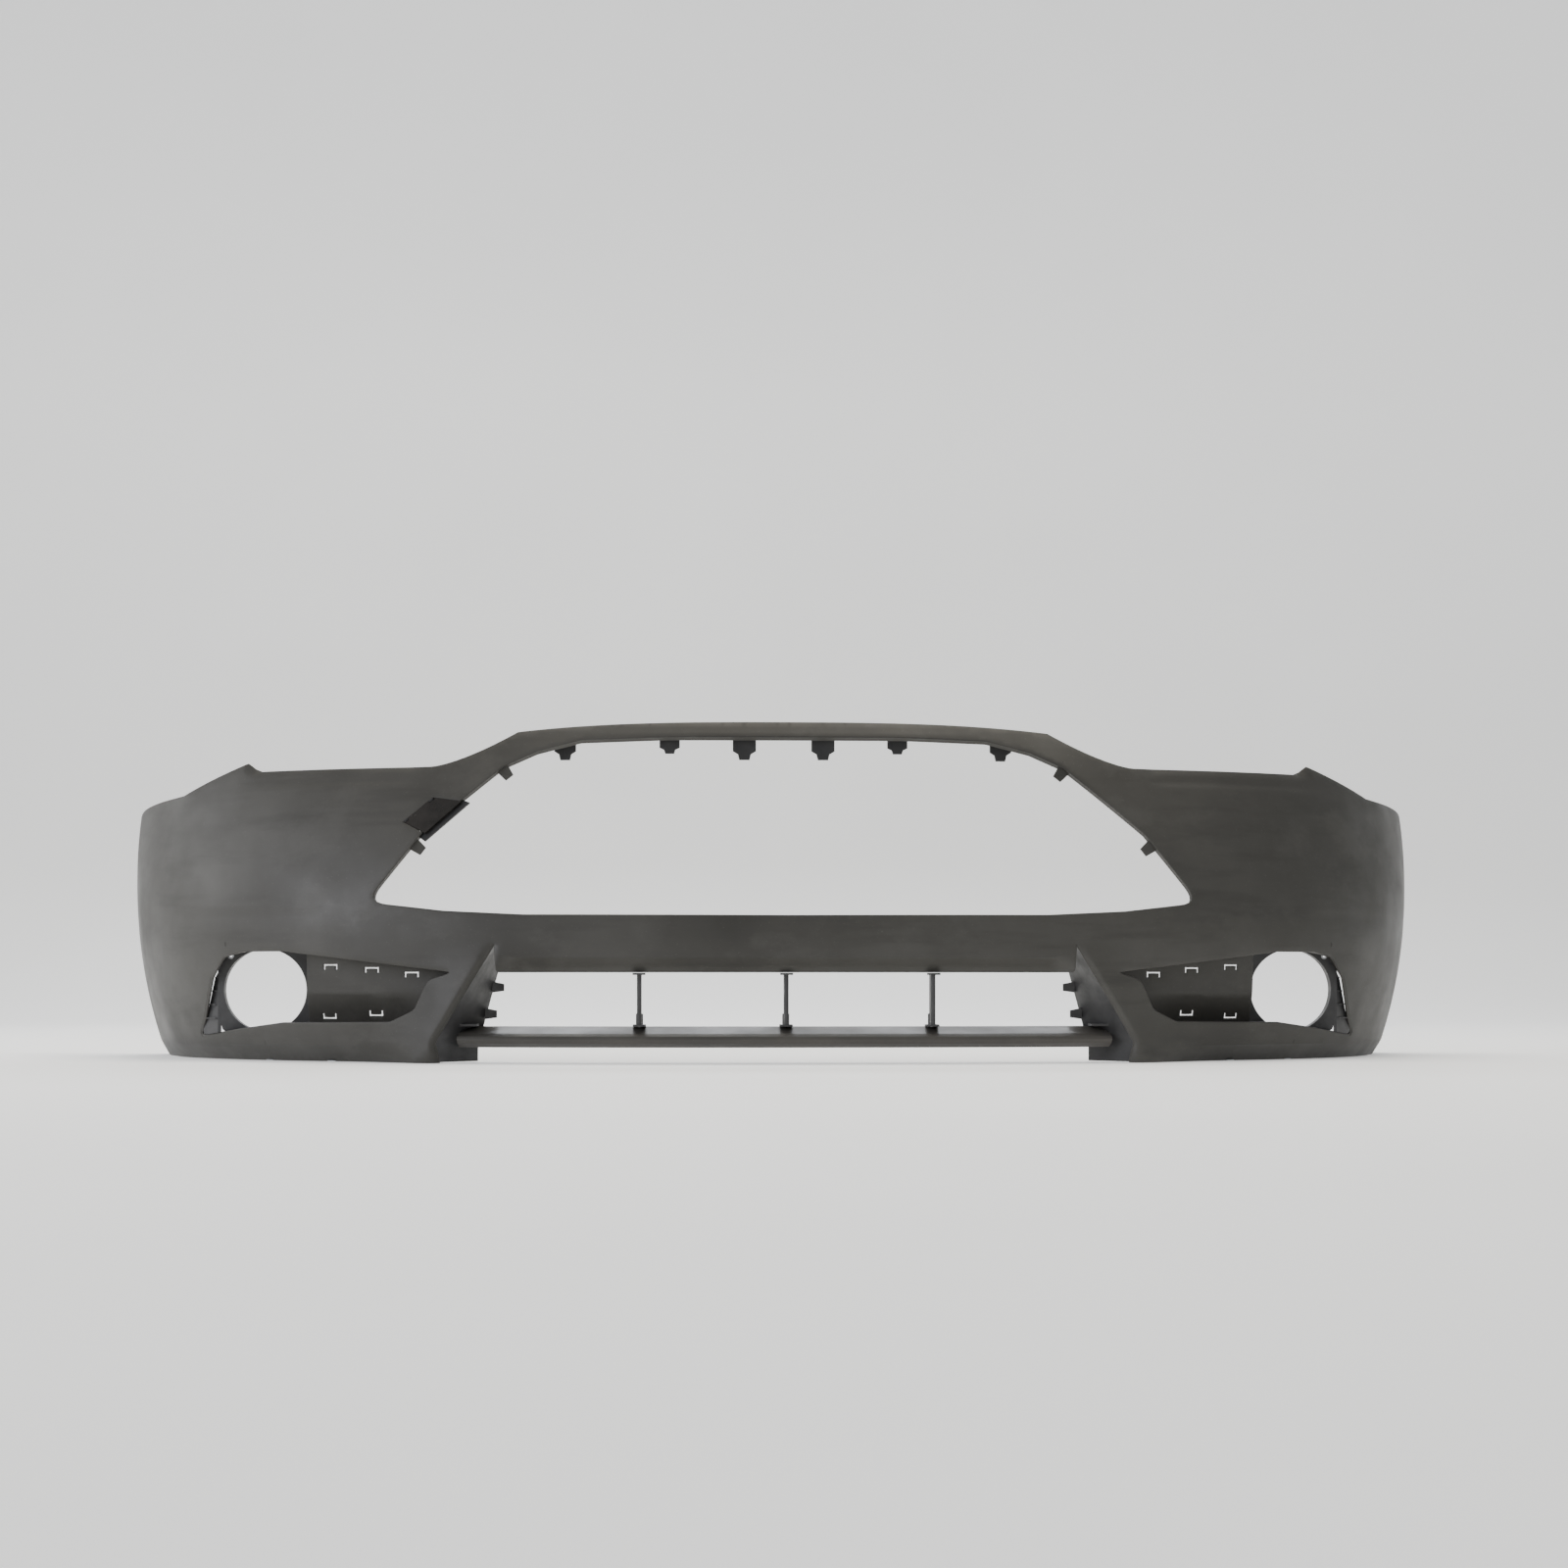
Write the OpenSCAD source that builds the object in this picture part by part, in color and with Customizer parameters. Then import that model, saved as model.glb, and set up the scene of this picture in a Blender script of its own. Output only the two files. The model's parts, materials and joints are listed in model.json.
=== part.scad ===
// Front bumper cover of a compact hatchback, bare and unpainted, with its trim.
// +X runs across the car, the front faces -Y, and +Z is up.
// The origin is on the ground plane under the middle of the bounding box.

/* [Overall size] */
// Half of the width across the two wheel arches
half_w = 910; // [900:1:920]
// Height of the bonnet edge above the bottom edge
cover_h = 438; // [434:1:442]
// Nose to the rear tip of a wing
cover_d = 560; // [556:1:566]
// Thickness of the moulded wall
wall = 3; // [2.6:0.1:3.4]

/* [Body curves] */
// Squareness of the curve seen from above
plan_power = 2.5; // [2.4:0.05:2.6]
// Height of the foremost line of the nose
nose_z = 150; // [145:1:155]
// How far the bonnet edge leans back behind the nose
top_lean = 120; // [110:1:130]
// How far the bottom edge tucks back behind the nose
chin_tuck = 14; // [8:1:20]
// Height of the widest line of the wings
belt_z = 260; // [250:1:270]
// How far the ends of the bottom edge tuck inwards
sill_tuck = 42; // [36:1:46]

/* [Wheel arch] */
// Radius of the wheel arch edge
arch_r = 345; // [335:1:355]
// Height of the middle of the wheel arch
arch_z = 130; // [120:1:140]
// Depth of the rolled return along the wheel arch
arch_return = 18; // [14:1:20]

/* [Fins beside the intake] */
// How far a fin stands proud at its foot
fin_rise = 26; // [20:1:32]
// Height of the pointed top of a fin
fin_apex_z = 151; // [148:1:154]
// Distance from the middle to the pointed top of a fin
fin_apex_x = 366; // [362:1:370]
// Distance from the middle to the foot of a fin's ridge
fin_foot_x = 442; // [438:1:446]

/* [Fog lamp] */
// Distance from the middle to a fog lamp
fog_x = 680; // [676:1:684]
// Height of a fog lamp's middle
fog_z = 92; // [90:1:94]
// Radius of the hole that takes a fog lamp
fog_r = 54; // [50:0.5:55]

/* [Towing eye cover] */
// Radius of the cover's hinge pins
tow_pin_r = 1.5; // [1.3:0.1:1.6]
// Running clearance around each hinge pin
pin_play = 0.05; // [0.03:0.01:0.08]
// Angle at which the cover is drawn
tow_open = 0; // [0:1:65]

/* [Hidden] */

primer = "#5b5b58";
black_pp = "#26272a";
gloss_black = "#34302d";
zinc = "#b9bcc0";
left = -1;
right = 1;

nose_y = -cover_d / 2;          // Y of the foremost line
tail_d = cover_d * 1.055;       // where the plan curve would end
t_end = 88.71;                    // last angle of the plan curve
far = 2 * cover_d;              // longer than anything that is cut
lap = 0.56;                     // step between the faces of joined walls, so that none coincide

// ---- the body surface: t is the angle along the plan curve, z the height ----
function lean(z) = z > nose_z ? top_lean * pow((z - nose_z) / (cover_h - nose_z), 1.7)
  : chin_tuck * pow((nose_z - z) / nose_z, 2);
function tuck(z) = z > belt_z ? 22 * pow((z - belt_z) / (cover_h - belt_z), 2)
  : sill_tuck * pow((belt_z - max(z, 0)) / belt_z, 2.2);
function ridge_x(z) = fin_apex_x + (fin_foot_x - fin_apex_x) * (fin_apex_z - z) / (fin_apex_z - 26);
function fin_edge(z) = z > 26 ? ridge_x(z) : fin_foot_x - 8 * (26 - z) / 35;
function fin(x, z) = z >= fin_apex_z ? 0 : let (d = abs(x) - ridge_x(z))
  fin_rise * pow((fin_apex_z - max(z, 0)) / fin_apex_z, 0.8) * exp(-pow(abs(d) / 55, 1.6));
function plan_t(x, z) = sign(x) * asin(min(1, pow(abs(x) / (half_w - tuck(z)), plan_power / 2)));
function plain_at(t, z) = let (c = pow(max(0, cos(t)), 2 / plan_power),
  s = sign(t) * pow(abs(sin(t)), 2 / plan_power))
  [(half_w - tuck(z)) * s, nose_y + lean(z) + (tail_d - lean(z)) * (1 - c), z];
function body_at(t, z) = let (p = plain_at(t, z)) [p[0], p[1] - fin(p[0], z), z];
function unit(v) = v / norm(v);
function inward(t, z) = let (e = min(0.4, 89.9 - abs(t)))
  unit(cross(plain_at(t, z + 1) - plain_at(t, z - 1), plain_at(t + e, z) - plain_at(t - e, z)));
function sunk_at(t, z, o) = body_at(t, z) + o * inward(t, z);
function sunk_x(x, z, o) = sunk_at(plan_t(x, z), z, o);
// the plan curve alone, sunk level by o, for pieces that are extruded upright
function level_at(t, z, o) = let (p = plain_at(t, z), n = inward(t, z), h = norm([n[0], n[1]]))
  [p[0] + o * n[0] / h, p[1] + o * n[1] / h];
function strip(t0, t1, n, z, o0, o1) = concat(
  [for (i = [0 : n]) level_at(t0 + (t1 - t0) * i / n, z, o0)],
  [for (i = [n : -1 : 0]) level_at(t0 + (t1 - t0) * i / n, z, o1)]);

// a curved slab of the body between two depths under its surface, over whole cells of one grid
grid_t = 50;
grid_z = 13;
grid_over = 2;
module slab(o0, o1, i0 = 0, i1 = grid_t, j0 = 0, j1 = grid_z) {
  nt = i1 - i0;
  nz = j1 - j0;
  row = nz + 1;
  face = (nt + 1) * row;
  points = [for (o = [o0, o1]) for (i = [i0 : i1]) for (j = [j0 : j1])
    sunk_at(t_end * (2 * i / grid_t - 1), (cover_h + 2 * grid_over) * j / grid_z - grid_over, o)];
  outer = [for (i = [0 : nt - 1]) for (j = [0 : nz - 1]) for (half = [0, 1]) let (a = i * row + j)
    half == 0 ? [a, a + 1, a + row + 1] : [a, a + row + 1, a + row]];
  inner = [for (f = outer) [f[2] + face, f[1] + face, f[0] + face]];
  rim = concat([for (i = [0 : nt]) i * row], [for (j = [1 : nz]) nt * row + j],
    [for (i = [nt - 1 : -1 : 0]) i * row + nz], [for (j = [nz - 1 : -1 : 1]) j]);
  edge = [for (k = [0 : len(rim) - 1]) for (half = [0, 1]) let (a = rim[k], b = rim[(k + 1) % len(rim)])
    half == 0 ? [a, b, b + face] : [a, b + face, a + face]];
  polyhedron(points, concat(outer, inner, edge), convexity = 12);
}

// a flat outline in the front view, driven through the part along Y
module through() {
  translate([0, far / 2, 0]) rotate([90, 0, 0]) linear_extrude(far, convexity = 8) children();
}

// a flat outline in the side view (depth behind the nose, height), driven along X
module across() {
  translate([-far, nose_y, 0]) rotate([90, 0, 90]) linear_extrude(2 * far, convexity = 8) children();
}

function mirrored(half) = concat(half, [for (i = [len(half) - 1 : -1 : 0]) [-half[i][0], half[i][1]]]);
module both_sides() {
  for (s = [left, right]) scale([s, 1, 1]) children();
}

// ---- outlines in the front view ----
kink_x = 343;
lamp_x = 455;
lamp_z = 379;
ear_x = 706;
function top_z(x) = x < kink_x ? cover_h - 13 * pow(x / kink_x, 3)
  : x < lamp_x ? lamp_z + (cover_h - 13 - lamp_z) * pow((lamp_x - x) / (lamp_x - kink_x), 1.45)
  : x < ear_x - 16 ? lamp_z : lamp_z + 12 * (x - ear_x + 16) / 16;
module front_outline(drop = 0) {
  polygon(mirrored(concat([[0, 0], [half_w + 9, 0], [half_w + 9, cover_h + 9], [ear_x, cover_h + 9]],
    [for (x = concat([ear_x, ear_x - 16], [for (k = [0 : 7]) lamp_x - 16 * k], [for (k = [6 : -1 : 0])
      kink_x * k / 7])) [x, top_z(x) - drop]])));
}
module top_band() {
  difference() {
    front_outline(lap);
    front_outline(wall);
    for (s = [left, right]) translate([s * (half_w + ear_x) / 2, cover_h / 2])
      square([half_w - ear_x, 2 * cover_h], center = true);
    translate([-half_w, -20]) square([2 * half_w, 200]);
  }
}
module grille_outline() {
  offset(r = 9, $fn = 16) offset(delta = -9) polygon(mirrored([[0, 185], [330, 186], [431, 191], [530, 203],
    [527, 212], [463, 293], [413, 336], [361, 380], [318, 400], [262, 415], [150, 419], [0, 419]]));
}
module intake_outline() {
  polygon(mirrored(concat([[0, -9]],
    [for (z = [-9, 26, 51, 76, 101, 126, fin_apex_z]) [fin_edge(z), z]], [[fin_apex_x - 3, 117], [0, 117]])));
}
module recess_outline() {
  offset(r = 7, $fn = 12) offset(delta = -7) polygon([[414, 115], [548, 131], [643, 143], [700, 143], [730, 136],
    [748, 108], [762, 54], [772, 30], [711, 40], [646, 49], [500, 51], [468, 66], [450, 104]]);
}
// a band of the given width around an outline, lapping a little over its inside
module ring_of(t) {
  difference() {
    offset(delta = t) children();
    offset(delta = -lap) children();
  }
}

// ---- outlines in the side view ----
arch_s = cover_d + sqrt(arch_r * arch_r - pow(322 - arch_z, 2));
module side_outline() {
  difference() {
    polygon([[-90, -9], [-90, cover_h + 9], [222, cover_h + 9], [224, 391], [285, 352], [400, 341],
      [cover_d, 324], [cover_d, -9]]);
    translate([arch_s, arch_z]) circle(arch_r, $fn = 80);
    polygon([[474, -9], [494, 5], [510, 11], [530, 31], [700, 60], [700, -9]]);
  }
}
module arch_band() {
  intersection() {
    side_outline();
    translate([arch_s, arch_z]) difference() {
      circle(arch_r + wall, $fn = 80);
      circle(arch_r + lap, $fn = 80);
    }
    translate([0, 24]) square([cover_d - 2, cover_h]);
  }
}

// ---- the towing eye cover's own plane: u along its hinge, v across it, w outwards ----
tow_a = sunk_x(-450, 338, 0);
tow_b = sunk_x(-487, 307, 0);
tow_u = unit(tow_b - tow_a);
tow_n = -inward(plan_t(-452, 316), 316);
tow_w = unit(tow_n - (tow_n * tow_u) * tow_u);
tow_v = cross(tow_w, tow_u);
tow_len = norm(tow_b - tow_a);
function tow_uv(x, z) = let (d = sunk_x(x, z, 0) - tow_a) [d * tow_u, d * tow_v];
tow_top = tow_uv(-412, 333);
tow_low = tow_uv(-458, 292);
tow_t = 3;
knuckle_r = 2.6;
module tow_plane() {
  multmatrix([[tow_u[0], tow_v[0], tow_w[0], tow_a[0]], [tow_u[1], tow_v[1], tow_w[1], tow_a[1]],
    [tow_u[2], tow_v[2], tow_w[2], tow_a[2]], [0, 0, 0, 1]]) children();
}
function tow_outline(g, back = 0) = [[-g, -knuckle_r - g - back], [tow_len + g, -knuckle_r - g - back],
  tow_low + [g, g], tow_top + [-g, g]];

// ---- fasteners ----
module screw(shank_l, shank_r = 2.2) {
  difference() {
    union() {
      cylinder(h = 1.2, r = 6.5, $fn = 36);
      cylinder(h = 3.4, r = 4.4, $fn = 36);
      translate([0, 0, -shank_l]) cylinder(h = shank_l + 0.1, r = shank_r, $fn = 24);
    }
    translate([0, 0, 1.6]) cylinder(h = 3, r = 2.1, $fn = 6);
  }
}
// a folded spring nut: the leaves lie either side of a plate along X, and the bend is at +X
nut_l = 15;
module spring_nut(grip, length = nut_l, width = 11) {
  leaf = 0.8;
  difference() {
    union() {
      translate([-length / 2, -width / 2, grip / 2]) cube([length, width, leaf]);
      translate([-length / 2, -width / 2, -grip / 2 - leaf]) cube([length, width, leaf]);
      translate([length / 2 - leaf, -width / 2, -grip / 2 - leaf]) cube([leaf, width, grip + 2 * leaf]);
      translate([0, 0, -grip / 2 - leaf - 2.4]) cylinder(h = 2.5, r = 4, $fn = 32);
    }
    translate([0, 0, -grip]) cylinder(h = 3 * grip + 6, r = 2.3, center = true, $fn = 24);
  }
}

// ---- the moulded skin ----
fog_plate_y = nose_y + 206;     // front face of the fog lamp carriers
panel_d = 46;                   // depth of the recessed panel beside a fog lamp
screw_hole_r = 2.9;
rail_screw_x = [60, 180, 285];
rail_screw_o = 17;
function rail_screw_at(x) = level_at(plan_t(x, cover_h - 6), cover_h - 6, rail_screw_o);
tray_x = [500, 590, 680];
tray_z = 1.6;                   // underside of the bottom flange
tray_in = 28;
function tray_at(x) = level_at(plan_t(x, 2), 2, tray_in - nut_l / 2 + 2.6);

module clip_slots() {
  for (p = [[586, 122], [530, 118], [477, 112], [590, 58], [526, 62]]) translate(p) difference() {
    square([20, 8], center = true);
    translate([0, p[1] > 90 ? -3 : 3]) square([13, 8], center = true);
  }
}
fin_hem_d = 18.5;
module fin_hem() {
  intersection() {
    slab(lap, fin_hem_d, 30, 36, 0, 5);
    through() intersection() {
      difference() {
        offset(delta = 1) intake_outline();
        offset(delta = -2) intake_outline();
      }
      translate([fin_apex_x - 2, 0]) square([90, fin_apex_z - 4]);
    }
  }
}
module fin_wall() {
  n = 6;
  points = [for (j = [0 : n]) let (z = 2.2 + 21.5 * j, f = sunk_x(fin_edge(z), z, fin_hem_d - 10),
    b = [392 - 0.27 * max(0, z - 20), nose_y + 96])
    for (q = [[fin_edge(z) - 1.7, f[1]], b, [b[0] + wall, b[1]], [fin_edge(z) + 0.4, f[1] + 1]]) [q[0], q[1], z]];
  polyhedron(points, concat([[2, 1, 0], [3, 2, 0]], [for (j = [0 : n - 1]) for (k = [0 : 3])
    for (half = [0, 1]) let (a = 4 * j + k, b = 4 * j + (k + 1) % 4)
    half == 0 ? [b + 4, a + 4, a] : [b, b + 4, a]], [[4 * n, 4 * n + 1, 4 * n + 2], [4 * n, 4 * n + 2, 4 * n + 3]]));
}
module skin_sheet() {
  difference() {
    intersection() {
      slab(0, wall);
      through() front_outline();
      across() side_outline();
    }
    through() grille_outline();
    through() intake_outline();
    both_sides() through() recess_outline();
    tow_plane() translate([0, 0, -9]) linear_extrude(18) polygon(tow_outline(1));
  }
}
module skin_returns() {
  intersection() {
    slab(lap, 22, 9, 41, 10);
    through() top_band();
    across() side_outline();
  }
  intersection() {
    slab(lap, arch_return, 46);
    across() arch_band();
  }
  intersection() {
    slab(lap, arch_return, 0, 4);
    across() arch_band();
  }
  difference() {
    intersection() {
      slab(lap, 9, 14, 36, 5);
      through() ring_of(wall) grille_outline();
      through() front_outline();
    }
    tow_plane() translate([0, 0, -14]) linear_extrude(24) polygon(tow_outline(9));
  }
  intersection() {
    slab(lap, 30, 18, 32, 3, 4);
    through() translate([-fin_apex_x, 114]) square([2 * fin_apex_x, 3]);
  }
  both_sides() {
    intersection() {
      slab(lap, tray_in, 31, grid_t, 0, 1);
      through() translate([fin_foot_x - 8, tray_z]) square([460, wall]);
      across() side_outline();
    }
    fin_hem();
    difference() {
      fin_wall();
      translate([375, nose_y + 58, 18.5]) cube([70, 44, 27.8]);
    }
    intersection() {
      slab(22, 70, 30, 33, 0, 2);
      through() translate([390, 46.3]) square([48, wall]);
    }
  }
}
module skin_recess() {
  difference() {
    intersection() {
      slab(lap, panel_d + wall, 30, 44, 0, 5);
      through() ring_of(wall) recess_outline();
    }
    translate([0, fog_plate_y - 0.4, -9]) cube([far, far, 200]);
  }
  difference() {
    intersection() {
      slab(panel_d, panel_d + wall, 30, 40, 0, 5);
      through() intersection() {
        offset(delta = 1.3) recess_outline();
        translate([400, 0]) square([218, 160]);
      }
    }
    through() clip_slots();
  }
}
module skin_lugs() {
  for (p = [[363, 378, 38], [474, 279, 52]]) translate([p[0], sunk_x(p[0], p[1], 8.4)[1], p[1]])
    rotate([90, p[2], 0]) linear_extrude(2.4) polygon([[-6, -17], [6, -17], [8, -4], [8, 6], [-8, 6], [-8, -4]]);
}
module carrier_domes() {
  for (p = carrier_screw) let (x = fog_x + p[0], z = fog_z + p[1], y = sunk_x(x, z, 1.5)[1])
    translate([x, y + 2, z]) rotate([-90, 0, 0]) cylinder(h = fog_plate_y - y - 2.2, r = 5.5, $fn = 8);
}
module skin_holes() {
  for (s = [left, right]) {
    for (x = rail_screw_x) translate([rail_screw_at(s * x)[0], rail_screw_at(s * x)[1], cover_h - 20])
      cylinder(h = 40, r = screw_hole_r, $fn = 10);
    for (x = tray_x) translate([tray_at(s * x)[0], tray_at(s * x)[1], -9])
      cylinder(h = 18, r = screw_hole_r, $fn = 10);
    for (x = [396, 410]) translate([s * x, nose_y + 92, 30]) cylinder(h = 30, r = screw_hole_r, $fn = 10);
    for (p = carrier_screw) translate([s * (fog_x + p[0]), fog_plate_y - 12, fog_z + p[1]]) rotate([-90, 0, 0])
      cylinder(h = 30, r = 2, $fn = 8);
    for (a = arch_nut_a) arch_place(s, a) cylinder(h = 12, r = screw_hole_r, center = true, $fn = 10);
  }
}
module cover_skin() {
  color(primer) resize([0, 0, 0]) difference() {
    union() {
      skin_sheet();
      skin_returns();
      both_sides() skin_recess();
      both_sides() skin_lugs();
      both_sides() carrier_domes();
    }
    skin_holes();
  }
}

// ---- wheel arch spring nuts: a is the angle up the arch ----
arch_nut_a = [25, 0, -15];
function side_x(s, z) = let (c = pow(1 - (s - lean(z)) / (tail_d - lean(z)), plan_power / 2))
  (half_w - tuck(z)) * pow(sqrt(1 - c * c), 2 / plan_power);
module arch_place(side, a) {
  s = arch_s - (arch_r + wall / 2) * cos(a);
  z = arch_z + (arch_r + wall / 2) * sin(a);
  x = side_x(s, z) - arch_return + nut_l / 2 - 3.6;
  translate([side * x, nose_y + s, z]) rotate([-90 - a, 0, 0]) rotate([0, 0, side > 0 ? 180 : 0]) children();
}

// ---- chin lip: one profile carried along the plan curve between the pods ----
lip_t = plan_t(414, 30);
function lip_section() = [[62, 46], [38, 46], [6, 37.5], [-1, 34], [-3, 30], [0, 25], [9, 20], [44, 20],
  [44, 22.6], [10, 22.6], [3, 27], [1, 30], [3, 32.6], [8, 34.8], [39, 43.2], [62, 43.2]];
module lower_lip() {
  section = lip_section();
  m = len(section);
  n = 26;
  points = [for (i = [0 : n]) for (q = section) let (t = lip_t * (2 * i / n - 1), p = level_at(t, 30, q[0]))
    [p[0], p[1], q[1]]];
  color(primer) difference() {
    resize([0, 0, 0]) union() {
      polyhedron(points, concat([[for (k = [m - 1 : -1 : 0]) k]], [for (i = [0 : n - 1]) for (k = [0 : m - 1])
        for (half = [0, 1]) let (a = i * m + k, b = i * m + (k + 1) % m)
        half == 0 ? [a, b, b + m] : [a, b + m, a + m]], [[for (k = [0 : m - 1]) n * m + k]]), convexity = 6);
    }
    for (x = [-410, -396, 396, 410]) translate([x, nose_y + 92, 30]) cylinder(h = 30, r = screw_hole_r);
    for (x = strut_x) translate([x, strut_y, 30]) cylinder(h = 30, r = screw_hole_r);
  }
}
module lip_screws() {
  color(zinc) for (x = [-410, -396, 396, 410]) translate([x, nose_y + 92, 43]) rotate([180, 0, 0]) screw(7);
}

// ---- intake struts ----
strut_x = [-185, 0, 185];
strut_y = nose_y + 52;
module intake_strut(x) {
  low = 46.3;
  high = 113.8;
  color(black_pp) translate([x, strut_y, low]) difference() {
    union() {
      translate([0, -12, 0]) linear_extrude(high - low) offset(r = 2) square([1.6, 26], center = true);
      translate([0, -12, 0]) linear_extrude(2.5) offset(r = 3) square([10, 26], center = true);
      linear_extrude(2.5) offset(r = 3) square([10, 12], center = true);
      translate([0, -32, high - low - 2.5]) linear_extrude(2.5) offset(r = 3) square([10, 12], center = true);
      cylinder(h = 16, r = 4.5);
    }
    translate([0, 0, -1]) cylinder(h = 14, r = 1.9);
  }
}
module strut_screws() {
  color(zinc) for (x = strut_x) translate([x, strut_y, 43]) rotate([180, 0, 0]) screw(14, 1.85);
}

// ---- towing eye cover and its frame, both drawn in the cover's own plane ----
pin_w = -knuckle_r;             // depth of the hinge axis
pin_len = 4;
lug_in = 7;                     // length of the notch at each end of the hinge for a frame lug
module tow_eye_cover() {
  clip_u = tow_len * 0.3;
  clip_v = tow_low[1] - 6.8;
  color(gloss_black) tow_plane() translate([0, 0, pin_w]) rotate([tow_open, 0, 0]) translate([0, 0, -pin_w])
  union() {
    difference() {
      translate([0, 0, -tow_t]) linear_extrude(tow_t) polygon([[0, 0], [tow_len, 0], tow_low, tow_top]);
      for (u = [-1, tow_len - lug_in]) translate([u, -4, -tow_t - 1]) cube([lug_in + 1, 7.2, tow_t + 2]);
    }
    translate([lug_in, 0, pin_w]) rotate([0, 90, 0])
      cylinder(h = tow_len - 2 * lug_in, r = knuckle_r, $fn = 32);
    translate([lug_in - pin_len, 0, pin_w]) rotate([0, 90, 0])
      cylinder(h = tow_len - 2 * lug_in + 2 * pin_len, r = tow_pin_r, $fn = 32);
    translate([clip_u, clip_v - 2, -9]) cube([9, 2, 6.5]);
    translate([clip_u, clip_v - 2, -9]) cube([9, 2.2, 1.2]);
  }
}
module tow_eye_frame() {
  under = -wall - 1.6;
  color(black_pp) tow_plane() difference() {
    union() {
      translate([0, 0, under - 2.6]) linear_extrude(2.6) difference() {
        polygon(tow_outline(6.5, 8));
        polygon([[lug_in - 0.4, -4.4], [tow_len - lug_in + 0.4, -4.4], [tow_len - lug_in, tow_low[1] - 4],
          [lug_in - 4, tow_top[1] - 4]]);
      }
      for (u = [0.6, tow_len - lug_in + 0.4]) {
        translate([u, 0, pin_w]) rotate([0, 90, 0]) cylinder(h = lug_in - 1, r = knuckle_r, $fn = 32);
        translate([u, -knuckle_r, under - 1]) cube([lug_in - 1, 2 * knuckle_r, pin_w - under + 1]);
      }
    }
    translate([0, 0, pin_w]) rotate([0, 90, 0]) cylinder(h = tow_len, r = tow_pin_r + pin_play, $fn = 32);
  }
}

// ---- black rail behind the bonnet edge, with the tabs that hold a grille ----
rail_in = 10.5;
rail_t = 2.5;
rail_x = 330;
rail_z = cover_h - 8;
rail_top = cover_h - wall - 0.2;
bolt_pitch = 160;
bolt_y = nose_y + top_lean + 47;
module tab(x, w, l, point) {
  p = level_at(plan_t(x, rail_z), rail_z, rail_in);
  q = level_at(plan_t(x + 5, rail_z), rail_z, rail_in);
  translate([p[0], p[1], rail_top - 20]) rotate([0, 0, atan2(q[1] - p[1], q[0] - p[0])]) {
    translate([0, rail_t, 0]) rotate([90, 0, 0]) linear_extrude(rail_t)
      polygon([[-w / 2, 10], [-w / 2, -l * 0.55], [-w * 0.28, -l * 0.7], [-w * 0.22, -l], [w * 0.22, -l],
        [w * 0.28, -l * 0.7], [w / 2, -l * 0.55], [w / 2, 10]]);
    if (point) translate([-1, rail_t - 0.1, -l * 0.5]) cube([2, 7, l * 0.5 + 6]);
  }
}
// an upright wall or shelf that keeps just under the skin's upper edge
function rail_over(x) = top_z(abs(x)) - wall - 0.4;
module under_edge(depth) {
  n = 22;
  intersection() {
    translate([0, 0, cover_h - 40]) linear_extrude(40) children();
    through() polygon(concat(
      [for (i = [-n : n]) [rail_x * i / n * 1.02, rail_over(rail_x * i / n * 1.02)]],
      [for (i = [n : -1 : -n]) [rail_x * i / n * 1.02, rail_over(rail_x * i / n * 1.02) - depth]]));
  }
}
module grille_rail() {
  t = plan_t(rail_x, rail_z);
  color(black_pp) difference() {
    union() {
      under_edge(rail_t) polygon(strip(-t, t, 22, rail_z, rail_in, 58));
      under_edge(15) polygon(strip(-t, t, 22, rail_z, rail_in, rail_in + rail_t));
      for (s = [left, right]) {
        tab(s * 51, 30, 25, true);
        tab(s * 148, 26, 17, false);
        tab(s * 284, 28, 25, true);
      }
      for (k = [-1.5 : 1.5]) translate([k * bolt_pitch, bolt_y, rail_top - 9]) cylinder(h = 9, r = 8, $fn = 36);
    }
    for (k = [-1.5 : 1.5]) translate([k * bolt_pitch, bolt_y, rail_top - 12]) cylinder(h = 16, r = 4.2, $fn = 36);
    for (x = rail_screw_x) for (s = [left, right])
      translate([rail_screw_at(s * x)[0], rail_screw_at(s * x)[1], rail_top - 20]) cylinder(h = 24, r = 2.4, $fn = 24);
  }
}
module rail_screws() {
  color(zinc) for (x = rail_screw_x) for (s = [left, right])
    translate([rail_screw_at(s * x)[0], rail_screw_at(s * x)[1], rail_over(x) - rail_t]) rotate([180, 0, 0])
    screw(5.4);
}

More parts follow.
